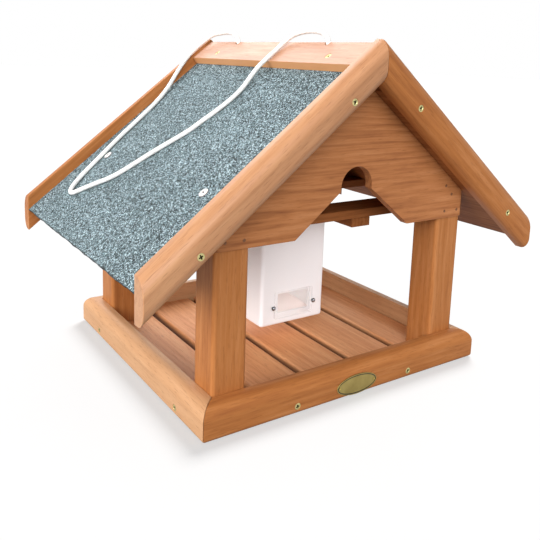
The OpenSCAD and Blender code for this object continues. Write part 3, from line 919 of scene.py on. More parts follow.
GRAIN_RULES = [
    ("tray_board_front", ALONG_X), ("tray_board_back", ALONG_X),
    ("tray_board_left", ALONG_Y), ("tray_board_right", ALONG_Y),
    ("post_", ALONG_Z), ("floor_slat", ALONG_Y), ("gable_", ALONG_X),
    ("roof_panel", ALONG_Y), ("ridge_board", ALONG_Y), ("lid_key", ALONG_X),
    ("barge_front_left", down_left), ("barge_back_left", down_left),
    ("barge_front_right", down_right), ("barge_back_right", down_right),
    ("hanger_bar", ALONG_X), ("cross_board", ALONG_X), ("silo_rail", ALONG_Y),
]
boards = {}
for node in sorted(nodes):
    if slot_of(node) in WOOD_SLOTS:
        boards[node] = make_board(node, first_match(GRAIN_RULES, node), FIRST_BOARD_SEED + len(boards))
print("boards:", len(boards), "roof pitch:", round(math.degrees(roof_pitch), 2))

# %% [markdown]
# ## Roofing felt: the stones
#
# Mineral felt is bitumen sheet with crushed slate pressed into it. The grains stand up by a few tenths of
# a millimetre and break up the outline of the sheet. They follow a cell pattern: every grain is one cell,
# highest in its middle, with a height drawn by chance.

# %% Stone heights
GRAIN_SIZE = 1.3 * MM
GRAIN_FALL = 1.3
GRAIN_LIFT = (0.35, 1.0)
GRAIN_SPREAD = (0.1, 0.9)
FAR_AWAY = 9.0


def grain_heights(down, across, seed):
    """Height from 0 to 1 of crushed stone at each place, highest in the middle of a grain."""
    draw = np.random.default_rng(seed)
    reach = int(max(down.max(), across.max()) / GRAIN_SIZE) + 4
    jitter = draw.uniform(*GRAIN_SPREAD, (reach, reach, 2))
    lift = draw.uniform(*GRAIN_LIFT, (reach, reach))
    cell_down, cell_across = down / GRAIN_SIZE + 1, across / GRAIN_SIZE + 1
    base_down, base_across = np.floor(cell_down).astype(int), np.floor(cell_across).astype(int)
    nearest = np.full(down.shape, FAR_AWAY)
    height = np.zeros(down.shape)
    for step_down in (-1, 0, 1):
        for step_across in (-1, 0, 1):
            row, column = base_down + step_down, base_across + step_across
            spot = jitter[row, column]
            gap = np.hypot(row + spot[..., 0] - cell_down, column + spot[..., 1] - cell_across)
            closer = gap < nearest
            nearest = np.where(closer, gap, nearest)
            dome = lift[row, column] * np.clip(1.0 - gap * gap * GRAIN_FALL, 0.0, 1.0)
            height = np.where(closer, dome, height)
    return height


print("grains of", round(GRAIN_SIZE / MM, 1), "mm")

# %% [markdown]
# ## Roofing felt: the sheet
#
# The upper face of a sheet is a fine grid that the stones lift. Thousands of quads are quicker to list
# with arrays than one by one. The rim of the grid, in order, is what a skirt hangs from.

# %% Felt grid
GRID_STEP = 0.98 * MM


def felt_faces(rows, columns):
    """The quads of a grid, and its rim in order."""
    index = np.arange(rows * columns).reshape(rows, columns)
    quads = np.stack([index[:-1, :-1], index[:-1, 1:], index[1:, 1:], index[1:, :-1]], axis=-1)
    rim = np.concatenate([index[0, :], index[1:, -1], index[-1, -2::-1], index[-2:0:-1, 0]])
    return quads.reshape(-1, 4), rim


print("felt grid:", round(GRID_STEP / MM, 2), "mm")

# %% [markdown]
# ## Roofing felt: cut to size
#
# A thin skirt and a flat back close the sheet, and its lower edge is cut a little unevenly, as with a
# knife. An attribute marks the faces that carry stones, so that the cut edges can show the bitumen.

# %% Felt sheets
GRAIN_RISE = 0.35 * MM
GRAIN_SEAT = 0.6
EDGE_WANDER = 0.5 * MM
EDGE_TURNS = 40
LAST_ROW_MINERAL = 0.25
FELT_SHADING_BREAK = 70


def felt_sheet(node, name, down, seed):
    """A closed sheet of felt over the solid, with raised grains on its upper face."""
    points = np.array([vertex.co for vertex in nodes[node].data.vertices])
    down, across = np.array(down), np.array(ALONG_Y)
    outward = np.cross(down, across)
    if outward[2] < 0:
        outward = -outward
    run, width, rise = points @ down, points @ across, points @ outward
    rows = int(round((run.max() - run.min()) / GRID_STEP)) + 1
    columns = int(round((width.max() - width.min()) / GRID_STEP)) + 1
    grid_run, grid_width = np.meshgrid(
        np.linspace(run.min(), run.max(), rows),
        np.linspace(width.min(), width.max(), columns),
        indexing="ij",
    )
    height = grain_heights(grid_run - run.min(), grid_width - width.min(), seed)
    top = rise.max() + (height - GRAIN_SEAT) * GRAIN_RISE
    draw = np.random.default_rng(seed + 1)
    turns = np.linspace(0, columns - 1, EDGE_TURNS)
    wander = draw.uniform(-EDGE_WANDER, EDGE_WANDER, EDGE_TURNS)
    grid_run[-1] += np.interp(np.arange(columns), turns, wander)
    upper = grid_run[..., None] * down + grid_width[..., None] * across + top[..., None] * outward
    upper = upper.reshape(-1, 3)
    quads, rim = felt_faces(rows, columns)
    drop = (upper[rim] @ outward) - rise.min()
    under = upper[rim] - drop[:, None] * outward
    low = np.arange(len(rim)) + len(upper)
    skirt = np.stack([rim, low, np.roll(low, -1), np.roll(rim, -1)], axis=-1)
    faces = quads.tolist() + skirt.tolist() + [low[::-1].tolist()]
    mesh = bpy.data.meshes.new(name)
    mesh.from_pydata(np.vstack([upper, under]).tolist(), [], faces)
    work = bmesh.new()
    work.from_mesh(mesh)
    bmesh.ops.recalc_face_normals(work, faces=work.faces)
    split_wide_faces(work)
    work.to_mesh(mesh)
    work.free()
    mineral = np.zeros(len(mesh.polygons))
    mineral[:len(quads)] = 1.0
    mineral[len(quads) - columns + 1:len(quads)] = LAST_ROW_MINERAL
    mesh.attributes.new("mineral", "FLOAT", "FACE").data.foreach_set("value", mineral)
    smooth(mesh, FELT_SHADING_BREAK)
    return mesh


felt_meshes = {
    "felt_left": felt_sheet("felt_left", "felt_left_sheet", down_left, 21),
    "felt_right": felt_sheet("felt_right", "felt_right_sheet", down_right, 22),
}
print("felt faces:", [len(mesh.polygons) for mesh in felt_meshes.values()])

# %% [markdown]
# ## Roofing felt: the slate
#
# Crushed slate is not one colour. Seen close, there are pale blue-green grains, grey ones and nearly
# black ones, so each cell of a fine cell pattern takes one of these by chance. A second, finer pattern
# adds chips between them, and a slow noise makes the sheet a little uneven. The cut edges show black
# bitumen.

# %% Slate
SLATE_TONES = [
    (0.0, screen(0.04, 0.04, 0.03)), (0.34, screen(0.09, 0.11, 0.10)), (0.55, screen(0.30, 0.36, 0.37)),
    (0.76, screen(0.50, 0.60, 0.63)), (1.0, screen(0.87, 0.95, 0.98)),
]
BITUMEN = screen(0.13, 0.13, 0.14)
GRAIN_CELLS = 1000.0
CHIP_CELLS = 1900.0
CHIP_SHARE = 0.6
STONE_RELIEF = 0.5 * MM


def cells(tree, vector, scale):
    """A cell pattern: a chance value for each cell, and the distance from its middle."""
    node = tree.nodes.new("ShaderNodeTexVoronoi")
    feed(tree, node, {"Vector": vector, "Scale": scale})
    pick = tree.nodes.new("ShaderNodeSeparateColor")
    wire(tree, pick.inputs[0], node.outputs["Color"])
    return pick.outputs[0], node.outputs["Distance"]


slate, tree, shader = new_material("crushed_slate")
place = object_place(tree)
grain_pick, grain_gap = cells(tree, place, GRAIN_CELLS)
chip_pick, chip_gap = cells(tree, place, CHIP_CELLS)
chips_here = ramp(tree, noise(tree, place, 900.0, 1.0), [(0.42, 0.0), (0.58, 1.0)])
chips_here = calc(tree, "MULTIPLY", chips_here, CHIP_SHARE)
stones = mixed(tree, chips_here, ramp(tree, grain_pick, SLATE_TONES), ramp(tree, chip_pick, SLATE_TONES))
uneven = ramp(tree, noise(tree, place, 14.0), [(0.3, 0.90), (0.7, 1.06)])
stones = mixed(tree, 1.0, stones, uneven, "MULTIPLY")
grain_relief = calc(tree, "MULTIPLY", grain_gap, -1.0)
chip_relief = calc(tree, "MULTIPLY", chip_gap, -0.5)
feed(tree, shader, {
    "Base Color": mixed(tree, attribute(tree, "mineral"), BITUMEN, stones),
    "Roughness": scaled(tree, grain_pick, -0.25, 0.95),
    "Normal": bumped(tree, calc(tree, "ADD", grain_relief, chip_relief), STONE_RELIEF),
    "Specular IOR Level": 0.3,
})

for node, mesh in felt_meshes.items():
    take_place(new_piece(node + "_sheet", mesh, slate), node)
print("felt sheets:", len(felt_meshes))

# %% [markdown]
# ## Metal, paint and brass
#
# Plated screws are never one clean colour: the yellow passivation shimmers between gold and green, and
# dirt stays in the cross recess. One group makes that patchy film and the darkening for all fasteners.
# The depth below the top of the head is stored on the meshes, and the group darkens what lies deep: dirt
# and rust, with painted shade in the recess and round the rim.

# %% Film group
DIRT_AND_SHADE_FROM = 0.25 * MM
DIRT_AND_SHADE_GROWTH = 1.6 / MM
DIRT_AND_SHADE_SHARE = 0.95

film_group, film_in, film_out = new_group(
    "patchy_film",
    [
        ("Depth", "NodeSocketFloat", 0.0),
        ("Patch Size", "NodeSocketFloat", 500.0),
        ("First", "NodeSocketColor", None),
        ("Second", "NodeSocketColor", None),
        ("Dirt", "NodeSocketColor", None),
    ],
    [("Color", "NodeSocketColor"), ("Patch", "NodeSocketFloat")],
)
tree = film_group
patch = noise(tree, object_place(tree), film_in.outputs["Patch Size"], 3.0)
patch = ramp(tree, patch, [(0.35, 0.0), (0.65, 1.0)])
film = mixed(tree, patch, film_in.outputs["First"], film_in.outputs["Second"])
# Dirt and painted shade in the recess: darker the deeper a point lies.
deep = calc(tree, "SUBTRACT", film_in.outputs["Depth"], DIRT_AND_SHADE_FROM)
deep = calc(tree, "MULTIPLY", deep, DIRT_AND_SHADE_GROWTH, clamp=True)
deep = calc(tree, "MULTIPLY", deep, DIRT_AND_SHADE_SHARE)
feed(tree, film_out, {"Color": mixed(tree, deep, film, film_in.outputs["Dirt"]), "Patch": patch})
print("film group nodes:", len(tree.nodes))

# %% [markdown]
# ## Five fastener finishes
#
# The wood screws are yellow zinc, the gable nails dark iron, the gate screws bright steel, the felt screws
# white enamel and the pins of the plate brass. The enamel is no metal at all, and the iron is so dull with
# rust that it is metal only in part.

# %% Fastener finishes
PATCH_ROUGHNESS = 0.12


def film_finish(name, first, second, dirt_and_shade, metallic, roughness):
    """A fastener material: two film colours, dirt with painted shade, how metallic and how rough it is."""
    material, tree, shader = new_material(name)
    layer = use_group(tree, film_group, {
        "Depth": attribute(tree, "depth"),
        "First": screen(*first),
        "Second": screen(*second),
        "Dirt": screen(*dirt_and_shade),
    })
    feed(tree, shader, {
        "Base Color": layer.outputs["Color"],
        "Roughness": scaled(tree, layer.outputs["Patch"], PATCH_ROUGHNESS, roughness),
        "Metallic": metallic,
    })
    return material


# The third colour is the dirt and painted shade in the recess.
FINISHES = {
    "yellow_zinc": film_finish(
        "yellow_zinc_film", (0.83, 0.77, 0.54), (0.73, 0.72, 0.52), (0.10, 0.08, 0.05), 1.0, 0.30),
    "dark_iron": film_finish(
        "dark_iron", (0.50, 0.33, 0.21), (0.41, 0.26, 0.16), (0.16, 0.10, 0.07), 0.4, 0.5),
    "steel": film_finish(
        "bright_steel", (0.80, 0.80, 0.82), (0.70, 0.70, 0.72), (0.15, 0.15, 0.16), 1.0, 0.22),
    "white_paint": film_finish(
        "white_enamel", (0.95, 0.94, 0.92), (0.91, 0.90, 0.88), (0.30, 0.11, 0.08), 0.0, 0.35),
    "badge_brass": film_finish(
        "pin_brass", (0.74, 0.66, 0.36), (0.66, 0.58, 0.32), (0.20, 0.17, 0.10), 1.0, 0.30),
}
print("fastener finishes:", sorted(FINISHES))

# %% [markdown]
# ## Turned parts
#
# All fasteners are turned parts: an outline spun round an axis. The four outlines are a countersunk head,
# a flat washer head, a domed pan head and a nail. They are given as radius and height, both in shares of
# the head's radius, from the top of the head down to the shank.

# %% Turning
TURN_SIDES = 20
OUTLINES = {
    "countersunk": [(0.0, 0.0), (0.82, 0.0), (0.96, -0.04), (1.0, -0.12), (0.51, -0.66)],
    "washer": [
        (0.0, 0.0), (0.60, 0.0), (0.88, -0.05), (0.97, -0.12), (1.0, -0.2), (0.96, -0.27), (0.32, -0.28)],
    "pan": [
        (0.0, 0.0), (0.3, -0.02), (0.6, -0.11), (0.84, -0.28), (0.97, -0.52), (1.0, -0.74), (0.47, -0.76)],
    "nail": [(0.0, 0.0), (0.45, -0.04), (0.8, -0.14), (1.0, -0.32), (0.9, -0.42), (0.42, -0.5)],
}


def turned(name, outline):
    """A closed mesh made by spinning an outline of radius and height."""
    work = bmesh.new()
    rings = []
    for radius, height in outline:
        if radius == 0.0:
            rings.append([work.verts.new((0.0, 0.0, height))])
            continue
        rings.append([
            work.verts.new((
                radius * math.cos(2 * math.pi * side / TURN_SIDES),
                radius * math.sin(2 * math.pi * side / TURN_SIDES),
                height,
            ))
            for side in range(TURN_SIDES)
        ])
    for upper, lower in zip(rings, rings[1:]):
        for side in range(TURN_SIDES):
            after = (side + 1) % TURN_SIDES
            corners = [upper[side % len(upper)], upper[after % len(upper)]]
            corners += [lower[after % len(lower)], lower[side % len(lower)]]
            work.faces.new(list(dict.fromkeys(corners)))
    bmesh.ops.recalc_face_normals(work, faces=work.faces)
    return mesh_from(work, name)


print("outlines:", sorted(OUTLINES))

# %% [markdown]
# ## The cross in a screw head
#
# A screw needs a recess for its driver. A tapered cross, a little higher than the head so that the cut is
# clean, is sunk into it and taken away. That is done once on the pattern, before there are dozens of
# screws.

# %% Cross recess
CROSS_WIDTH = 0.30
CROSS_DEPTH = 0.7
CROSS_ABOVE = 0.3
CROSS_TAPER = (0.45, 0.6)


def cross_cutter(reach):
    """A tapered cross that is sunk into a screw head."""
    half_width, depth = reach * CROSS_WIDTH, reach * CROSS_DEPTH
    outline = []
    for quarter in range(4):
        turn = Matrix.Rotation(quarter * math.pi / 2, 3, "Z")
        for x, y in ((reach, -half_width), (reach, half_width), (half_width, half_width)):
            outline.append(turn @ Vector((x, y, 0.0)))
    work = bmesh.new()
    top = [work.verts.new((point.x, point.y, depth * CROSS_ABOVE)) for point in outline]
    bottom = [
        work.verts.new((point.x * CROSS_TAPER[0], point.y * CROSS_TAPER[1], -depth)) for point in outline]
    for side in range(len(outline)):
        after = (side + 1) % len(outline)
        work.faces.new((top[side], top[after], bottom[after], bottom[side]))
    work.faces.new(top)
    work.faces.new(list(reversed(bottom)))
    bmesh.ops.recalc_face_normals(work, faces=work.faces)
    return mesh_from(work, "cross_cutter")


def plain_mesh(holder):
    """The evaluated shape of an object as a plain mesh."""
    graph = bpy.context.evaluated_depsgraph_get()
    return bpy.data.meshes.new_from_object(holder.evaluated_get(graph), depsgraph=graph)


def cut_cross(pattern, reach):
    """Cuts the cross into a pattern."""
    cutter = bpy.data.objects.new("cross_cutter", cross_cutter(reach))
    scene.collection.objects.link(cutter)
    cut = pattern.modifiers.new("cross", "BOOLEAN")
    cut.object = cutter
    cut.operation = "DIFFERENCE"
    cut.solver = "EXACT"
    pattern.data = plain_mesh(pattern)
    pattern.modifiers.clear()
    bpy.data.objects.remove(cutter)


print("cross depth:", CROSS_DEPTH, "of its reach")

# %% [markdown]
# ## Fastener patterns
#
# A pattern stands at the origin with its head up and its top at height 0, ready to be placed. Its shank
# ends in a point. Each point of the mesh stores how deep it lies, and the rim of a head counts as a
# little deep, which paints a thin shade round it.

# %% Fastener patterns
CROSS_REACH = {"countersunk": 0.70, "washer": 0.56, "pan": 0.55}
RIM_SHADE = {"countersunk": 0.36 * MM, "washer": 0.35 * MM}
RIM_FROM = 0.94
TIP_LENGTH = 2.5
TIP_WIDTH = 0.2
HEAD_SHADING_BREAK = 35


def fastener_pattern(kind, radius, length):
    """One fastener, head up, its top at height 0."""
    outline = [(share * radius, height * radius) for share, height in OUTLINES[kind]]
    shank = outline[-1][0]
    outline += [(shank, -length + TIP_LENGTH * shank), (shank * TIP_WIDTH, -length), (0.0, -length)]
    pattern = bpy.data.objects.new(kind + "_pattern", turned(kind + "_pattern", outline))
    scene.collection.objects.link(pattern)
    if kind in CROSS_REACH:
        cut_cross(pattern, CROSS_REACH[kind] * radius)
    mesh = pattern.data
    smooth(mesh, HEAD_SHADING_BREAK)
    # The rim counts as a little deep, which paints a thin shade round the head.
    rim_shade = RIM_SHADE.get(kind, 0.0)
    depths = []
    for vertex in mesh.vertices:
        on_rim = vertex.co.xy.length > RIM_FROM * radius
        depths.append(max(-vertex.co.z, rim_shade * on_rim))
    mesh.attributes.new("depth", "FLOAT", "POINT").data.foreach_set("value", depths)
    return pattern


print("with a cross:", sorted(CROSS_REACH))

# %% [markdown]
# ## A node tree that drives the screws home
#
# Screws repeat, so Geometry Nodes place them. The tree takes a cloud of points that know which way they
# face, sets the pattern on each of them, turns it round its own axis by a seeded chance, as no two screws
# stop at the same angle, and makes everything one real mesh with its finish.

# %% Placing tree
place_tree = bpy.data.node_groups.new("place_fasteners", "GeometryNodeTree")
for label, kind in (
    ("Geometry", "NodeSocketGeometry"), ("Pattern", "NodeSocketObject"),
    ("Spin Seed", "NodeSocketInt"), ("Finish", "NodeSocketMaterial"),
):
    place_tree.interface.new_socket(label, in_out="INPUT", socket_type=kind)
place_tree.interface.new_socket("Geometry", in_out="OUTPUT", socket_type="NodeSocketGeometry")

tree = place_tree
entry = tree.nodes.new("NodeGroupInput")
leave = tree.nodes.new("NodeGroupOutput")
pattern_in = tree.nodes.new("GeometryNodeObjectInfo")
facing = tree.nodes.new("GeometryNodeInputNamedAttribute")
facing.data_type = "FLOAT_VECTOR"
facing.inputs["Name"].default_value = "facing"
stand = tree.nodes.new("FunctionNodeAlignRotationToVector")
stand.axis = "Z"
chance = tree.nodes.new("FunctionNodeRandomValue")
chance.data_type = "FLOAT"
shown(chance.inputs, "Max").default_value = 2 * math.pi
spin = tree.nodes.new("FunctionNodeAxisAngleToRotation")
spin.inputs["Axis"].default_value = ALONG_Z
turn_in = tree.nodes.new("FunctionNodeRotateRotation")
turn_in.rotation_space = "LOCAL"
instances = tree.nodes.new("GeometryNodeInstanceOnPoints")
real = tree.nodes.new("GeometryNodeRealizeInstances")
finish = tree.nodes.new("GeometryNodeSetMaterial")
for source, target in (
    (entry.outputs["Pattern"], pattern_in.inputs["Object"]),
    (shown(facing.outputs, "Attribute"), stand.inputs["Vector"]),
    (entry.outputs["Spin Seed"], chance.inputs["Seed"]),
    (shown(chance.outputs, "Value"), spin.inputs["Angle"]),
    (stand.outputs["Rotation"], turn_in.inputs["Rotation"]),
    (spin.outputs["Rotation"], turn_in.inputs["Rotate By"]),
    (entry.outputs["Geometry"], instances.inputs["Points"]),
    (pattern_in.outputs["Geometry"], instances.inputs["Instance"]),
    (turn_in.outputs["Rotation"], instances.inputs["Rotation"]),
    (instances.outputs["Instances"], real.inputs["Geometry"]),
    (real.outputs["Geometry"], finish.inputs["Geometry"]),
    (entry.outputs["Finish"], finish.inputs["Material"]),
    (finish.outputs["Geometry"], leave.inputs["Geometry"]),
):
    tree.links.new(source, target)
print("placing tree nodes:", len(tree.nodes))

# %% [markdown]
# ## Where the fasteners are
#
# The solids already hold every screw and nail. A turned part looks the same from all sides of its axis,
# so of the three main directions of its points, the axis is the one that differs from the other two. The
# wide end is the head. That gives the top of the head, the way it faces, its radius and its length.

# %% Find fasteners
def fastener_places(node):
    """Top, facing, radius and length of every fastener of a node."""
    found = []
    for points in islands(node):
        middle = (points.min(axis=0) + points.max(axis=0)) / 2
        spread, ways = np.linalg.eigh(np.cov((points - middle).T))
        axis = ways[:, 2] if spread[2] - spread[1] > spread[1] - spread[0] else ways[:, 0]
        centre = points.mean(axis=0)
        travel = (points - centre) @ axis
        away = np.linalg.norm(points - centre - np.outer(travel, axis), axis=1)
        if travel[away.argmax()] < (travel.min() + travel.max()) / 2:
            axis, travel = -axis, -travel
        found.append((centre + axis * travel.max(), axis, away.max(), np.ptp(travel)))
    return found


print("tray screws found:", len(fastener_places("tray_screws")))

# %% [markdown]
# ## Nine sets of fasteners
#
# Each set is one node of the model and becomes one piece. Its points go into a small cloud, the placing
# tree turns the cloud into screws, and the result is kept as a plain mesh. The pattern takes its radius
# and length from the solids.

# %% Place fasteners
FASTENERS = [
    ("tray_screws", "countersunk", "yellow_zinc"), ("barge_screws", "countersunk", "yellow_zinc"),
    ("post_screws", "countersunk", "yellow_zinc"), ("collar_screws", "countersunk", "yellow_zinc"),
    ("ridge_screws", "countersunk", "yellow_zinc"), ("felt_screws", "washer", "white_paint"),
    ("gable_nails", "nail", "dark_iron"), ("gate_screws", "pan", "steel"),
    ("badge_pins", "nail", "badge_brass"),
]
FIRST_SPIN_SEED = 40


def place_fasteners(node, kind, finish, seed):
    """Sets the pattern on every place of a node and makes one piece of them."""
    tops, ways, radii, lengths = zip(*fastener_places(node))
    pattern = fastener_pattern(kind, max(radii), max(lengths))
    cloud = bpy.data.meshes.new(node + "_points")
    cloud.from_pydata([tuple(top) for top in tops], [], [])
    cloud.attributes.new("facing", "FLOAT_VECTOR", "POINT").data.foreach_set("vector", np.ravel(ways))
    holder = bpy.data.objects.new(node + "_points", cloud)
    scene.collection.objects.link(holder)
    modifier = holder.modifiers.new("place", "NODES")
    modifier.node_group = place_tree
    values = {"Pattern": pattern, "Spin Seed": seed, "Finish": FINISHES[finish]}
    for item in place_tree.interface.items_tree:
        if item.in_out == "INPUT" and item.name in values:
            modifier[item.identifier] = values[item.name]
    mesh = plain_mesh(holder)
    mesh.name = node + "_driven"
    bpy.data.objects.remove(holder)
    bpy.data.objects.remove(pattern)
    take_place(new_piece(node + "_driven", mesh, FINISHES[finish]), node)
    print(node, len(tops), "heads of", round(2 * max(radii) / MM, 1), "mm,", len(mesh.polygons), "faces")


for order, (node, kind, finish) in enumerate(FASTENERS):
    place_fasteners(node, kind, finish, FIRST_SPIN_SEED + order)

# %% [markdown]
# ## Milky plastic
#
# The silo is a moulded box of milky white plastic. Its walls are thin, so a little light passes through,
# and its surface is satin with faint flow marks. The pyramid inside, which pushes the seed to the
# outlets, is the same plastic, a little darker and pinker. Daylight that soaks through milky walls needs
# more bounces than a render gives it, so the plastic gets a faint painted glow of its own, more inside
# than outside.

# %% Plastic
PLASTIC_RELIEF = 0.03 * MM
LIGHT_SOAKS_IN = (2 * MM, 2 * MM, 2 * MM)
GLOW = (1.0, 0.93, 0.90, 1.0)

flow_group, flow_in, flow_out = new_group(
    "moulded_flow",
    [("Pale", "NodeSocketColor", None), ("Deep", "NodeSocketColor", None)],
    [("Color", "NodeSocketColor"), ("Grit", "NodeSocketFloat")],
)
tree = flow_group
place = object_place(tree)
flow = ramp(tree, streaks(tree, place, (30.0, 30.0, 9.0)), [(0.3, 0.0), (0.7, 1.0)])
feed(tree, flow_out, {
    "Color": mixed(tree, flow, flow_in.outputs["Pale"], flow_in.outputs["Deep"]),
    "Grit": noise(tree, place, 1500.0),
})


def milky_plastic(name, pale, deep, glow):
    """Moulded plastic with flow marks and a faint painted glow."""
    material, tree, shader = new_material(name)
    marks = use_group(tree, flow_group, {"Pale": screen(*pale), "Deep": screen(*deep)})
    feed(tree, shader, {
        "Base Color": marks.outputs["Color"],
        "Roughness": scaled(tree, marks.outputs["Grit"], 0.12, 0.30),
        "Normal": bumped(tree, marks.outputs["Grit"], PLASTIC_RELIEF),
        "Specular IOR Level": 0.3,
        "Subsurface Weight": 0.6,
        "Subsurface Radius": LIGHT_SOAKS_IN,
        "Subsurface Scale": 1.0,
        "Emission Color": GLOW,
        "Emission Strength": glow,
    })
    return material


# Painted light: each copy glows a little, the inner walls most.
milky = milky_plastic("milky_plastic", (0.945, 0.935, 0.94), (0.94, 0.925, 0.93), 0.10)
lit_milky = milky_plastic("milky_plastic_inside", (0.985, 0.975, 0.975), (0.98, 0.965, 0.965), 0.22)
pyramid_milky = milky_plastic("dusty_plastic", (0.95, 0.90, 0.88), (0.93, 0.87, 0.85), 0.11)
print("plastics:", [material.name for material in (milky, lit_milky, pyramid_milky)])

# %% [markdown]
# ## The seed silo
#
# Box and pyramid are copies of their solids with softer edges, and the foot of the box is well rounded.
# The faces that look into the box get the inner plastic with its stronger painted glow, and they are
# found by their place: within the reach of the pyramid, and above the underside.

# %% Silo
FOOT_ROUND = 3.0 * MM
FOOT_SEGMENTS = 4
SILO_EASE = 0.6 * MM
PYRAMID_EASE = 0.8 * MM
INNER_MARGIN = 0.8 * MM
INNER_FROM = 1.5 * MM
INSIDE = {"silo_body": lit_milky, "silo_deflector": pyramid_milky}

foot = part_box("silo_body")[0][2]
body = merged_copy("silo_body")
foot_edges = [edge for edge in body.edges if all(abs(end.co.z - foot) < WELD for end in edge.verts)]
round_edges(body, foot_edges, FOOT_ROUND, FOOT_SEGMENTS)
upper_edges = [edge for edge in long_sharp_edges(body) if edge.verts[0].co.z > foot + FOOT_ROUND]
round_edges(body, upper_edges, SILO_EASE)
silo_meshes = {
    "silo_body": smooth_mesh(body, "silo_moulding"),
    "silo_deflector": eased_copy("silo_deflector", "silo_pyramid", PYRAMID_EASE),
}
inner_reach = np.array(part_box("silo_deflector")[1]) + INNER_MARGIN
for node, mesh in silo_meshes.items():
    piece = new_piece(mesh.name, mesh, milky)
    mesh.materials.append(INSIDE[node])
    for polygon in mesh.polygons:
        inside = abs(polygon.center.x) < inner_reach[0] and abs(polygon.center.y) < inner_reach[1]
        polygon.material_index = int(inside and polygon.center.z > foot + INNER_FROM)
    flatten_normals(piece)
    take_place(piece, node)
    print(mesh.name, len(mesh.polygons), "faces")

# %% [markdown]
# ## Clear slide gates
#
# A gate is a small sheet of clear acrylic. Clear plastic is seen by its edges and by what it reflects, so
# the edges are polished round, and fine scratches from sliding vary the gloss.

# %% Gates
GATE_EASE = 0.35 * MM
CLEAR_TONES = [(0.3, screen(0.97, 0.975, 0.975)), (0.7, screen(0.985, 0.985, 0.98))]

acrylic, tree, shader = new_material("clear_acrylic")
place = object_place(tree)
scratch = streaks(tree, place, (900.0, 900.0, 40.0))
feed(tree, shader, {
    "Base Color": ramp(tree, noise(tree, place, 60.0), CLEAR_TONES),
    "Roughness": ramp(tree, scratch, [(0.45, 0.04), (0.7, 0.16)]),
    "Transmission Weight": 1.0,
    "IOR": 1.49,
    "Alpha": 0.20,
})

for node in ("gate_front", "gate_back"):
    piece = new_piece(node + "_sheet", eased_copy(node, node + "_sheet", GATE_EASE), acrylic)
    flatten_normals(piece)
    take_place(piece, node)
    print(node, len(piece.data.polygons), "faces")

# %% [markdown]
# ## The oval plate: its shape
#
# The plate on the front board is stamped brass with a raised rim and a dark line inside it. It is built
# from oval rings: each ring has a share of the full size, a height and a mark that says whether it
# belongs to the line. The rings of the line lie lower. The mark is stored on the mesh. The middle stays
# bare.

# %% Plate shape
OVAL_SIDES = 96
OVAL_RINGS = [
    (0.30, 0.80, 0.0), (0.60, 0.80, 0.0), (0.74, 0.80, 0.0), (0.810, 0.80, 0.0), (0.820, 0.50, 1.0),
    (0.905, 0.50, 1.0), (0.915, 0.95, 0.0), (0.935, 1.0, 0.0), (0.975, 1.0, 0.0), (0.995, 0.85, 0.0),
    (1.0, 0.6, 0.0), (1.0, 0.0, 0.0),
]
PLATE_SHADING_BREAK = 40

low, high = (Vector(corner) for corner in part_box("badge"))
middle = (low + high) / 2
half = (high - low) / 2
oval = bmesh.new()
enamel = []
rings = []
for share, lift, dark in OVAL_RINGS:
    inset = half.z * (1.0 - share)
    ring = []
    for side in range(OVAL_SIDES):
        angle = 2 * math.pi * side / OVAL_SIDES
        x = middle.x + (half.x - inset) * math.cos(angle)
        z = middle.z + (half.z - inset) * math.sin(angle)
        ring.append(oval.verts.new((x, high.y - 2 * half.y * lift, z)))
        enamel.append(dark)
    rings.append(ring)
for inner, outer in zip(rings, rings[1:]):
    for side in range(OVAL_SIDES):
        after = (side + 1) % OVAL_SIDES
        oval.faces.new((inner[side], inner[after], outer[after], outer[side]))
oval.faces.new(rings[0])
oval.faces.new(rings[-1])
bmesh.ops.recalc_face_normals(oval, faces=oval.faces)
split_wide_faces(oval)
plate_mesh = mesh_from(oval, "oval_plate")
plate_mesh.attributes.new("enamel", "FLOAT", "POINT").data.foreach_set("value", enamel)
smooth(plate_mesh, PLATE_SHADING_BREAK)
print("plate:", [round(value / MM, 1) for value in (high - low)], "mm")

# %% [markdown]
# ## The oval plate: its brass
#
# Brass that hangs outdoors goes dull in patches. Fine brush marks run along the plate, and the marked
# line is filled with dark enamel, which is no metal.

# %% Plate finish
BRUSH_RELIEF = 0.02 * MM
BRASS_TONES = [(0.3, screen(0.66, 0.59, 0.36)), (0.7, screen(0.58, 0.51, 0.30))]

brass, tree, shader = new_material("stamped_brass")
place = object_place(tree)
line = attribute(tree, "enamel")
metal = ramp(tree, noise(tree, place, 90.0, 4.0, 0.6), BRASS_TONES)
brushed = streaks(tree, place, (60.0, 60.0, 2400.0))
feed(tree, shader, {
    "Base Color": mixed(tree, line, metal, screen(0.10, 0.09, 0.06)),
    "Roughness": scaled(tree, brushed, 0.2, 0.28),
    "Metallic": calc(tree, "SUBTRACT", 1.0, line),
    "Normal": bumped(tree, brushed, BRUSH_RELIEF),
})
take_place(new_piece("oval_plate", plate_mesh, brass), "badge")
print("material:", brass.name)

# %% [markdown]
# ## The floor
#
# The feeder stands on a plain pale floor in a white room. To the camera, to gloss and to glass the room
# is white. The floor gets the last step to white from a little light of its own, which only those rays
# see, so it still takes a shadow.

# %% Floor
FLOOR_TONE = 0.30
FLOOR_MOTTLE = 0.01
FLOOR_LIFT = 0.60
FLOOR_HALF = 12.0
FLOOR_BELOW = 0.05 * MM


def seen_rays(tree):
    """1 for the rays that show the room: from the camera, from gloss and through glass."""
    rays = tree.nodes.new("ShaderNodeLightPath")
    seen = calc(tree, "MAXIMUM", rays.outputs["Is Camera Ray"], rays.outputs["Is Glossy Ray"])
    return calc(tree, "MAXIMUM", seen, rays.outputs["Is Transmission Ray"])


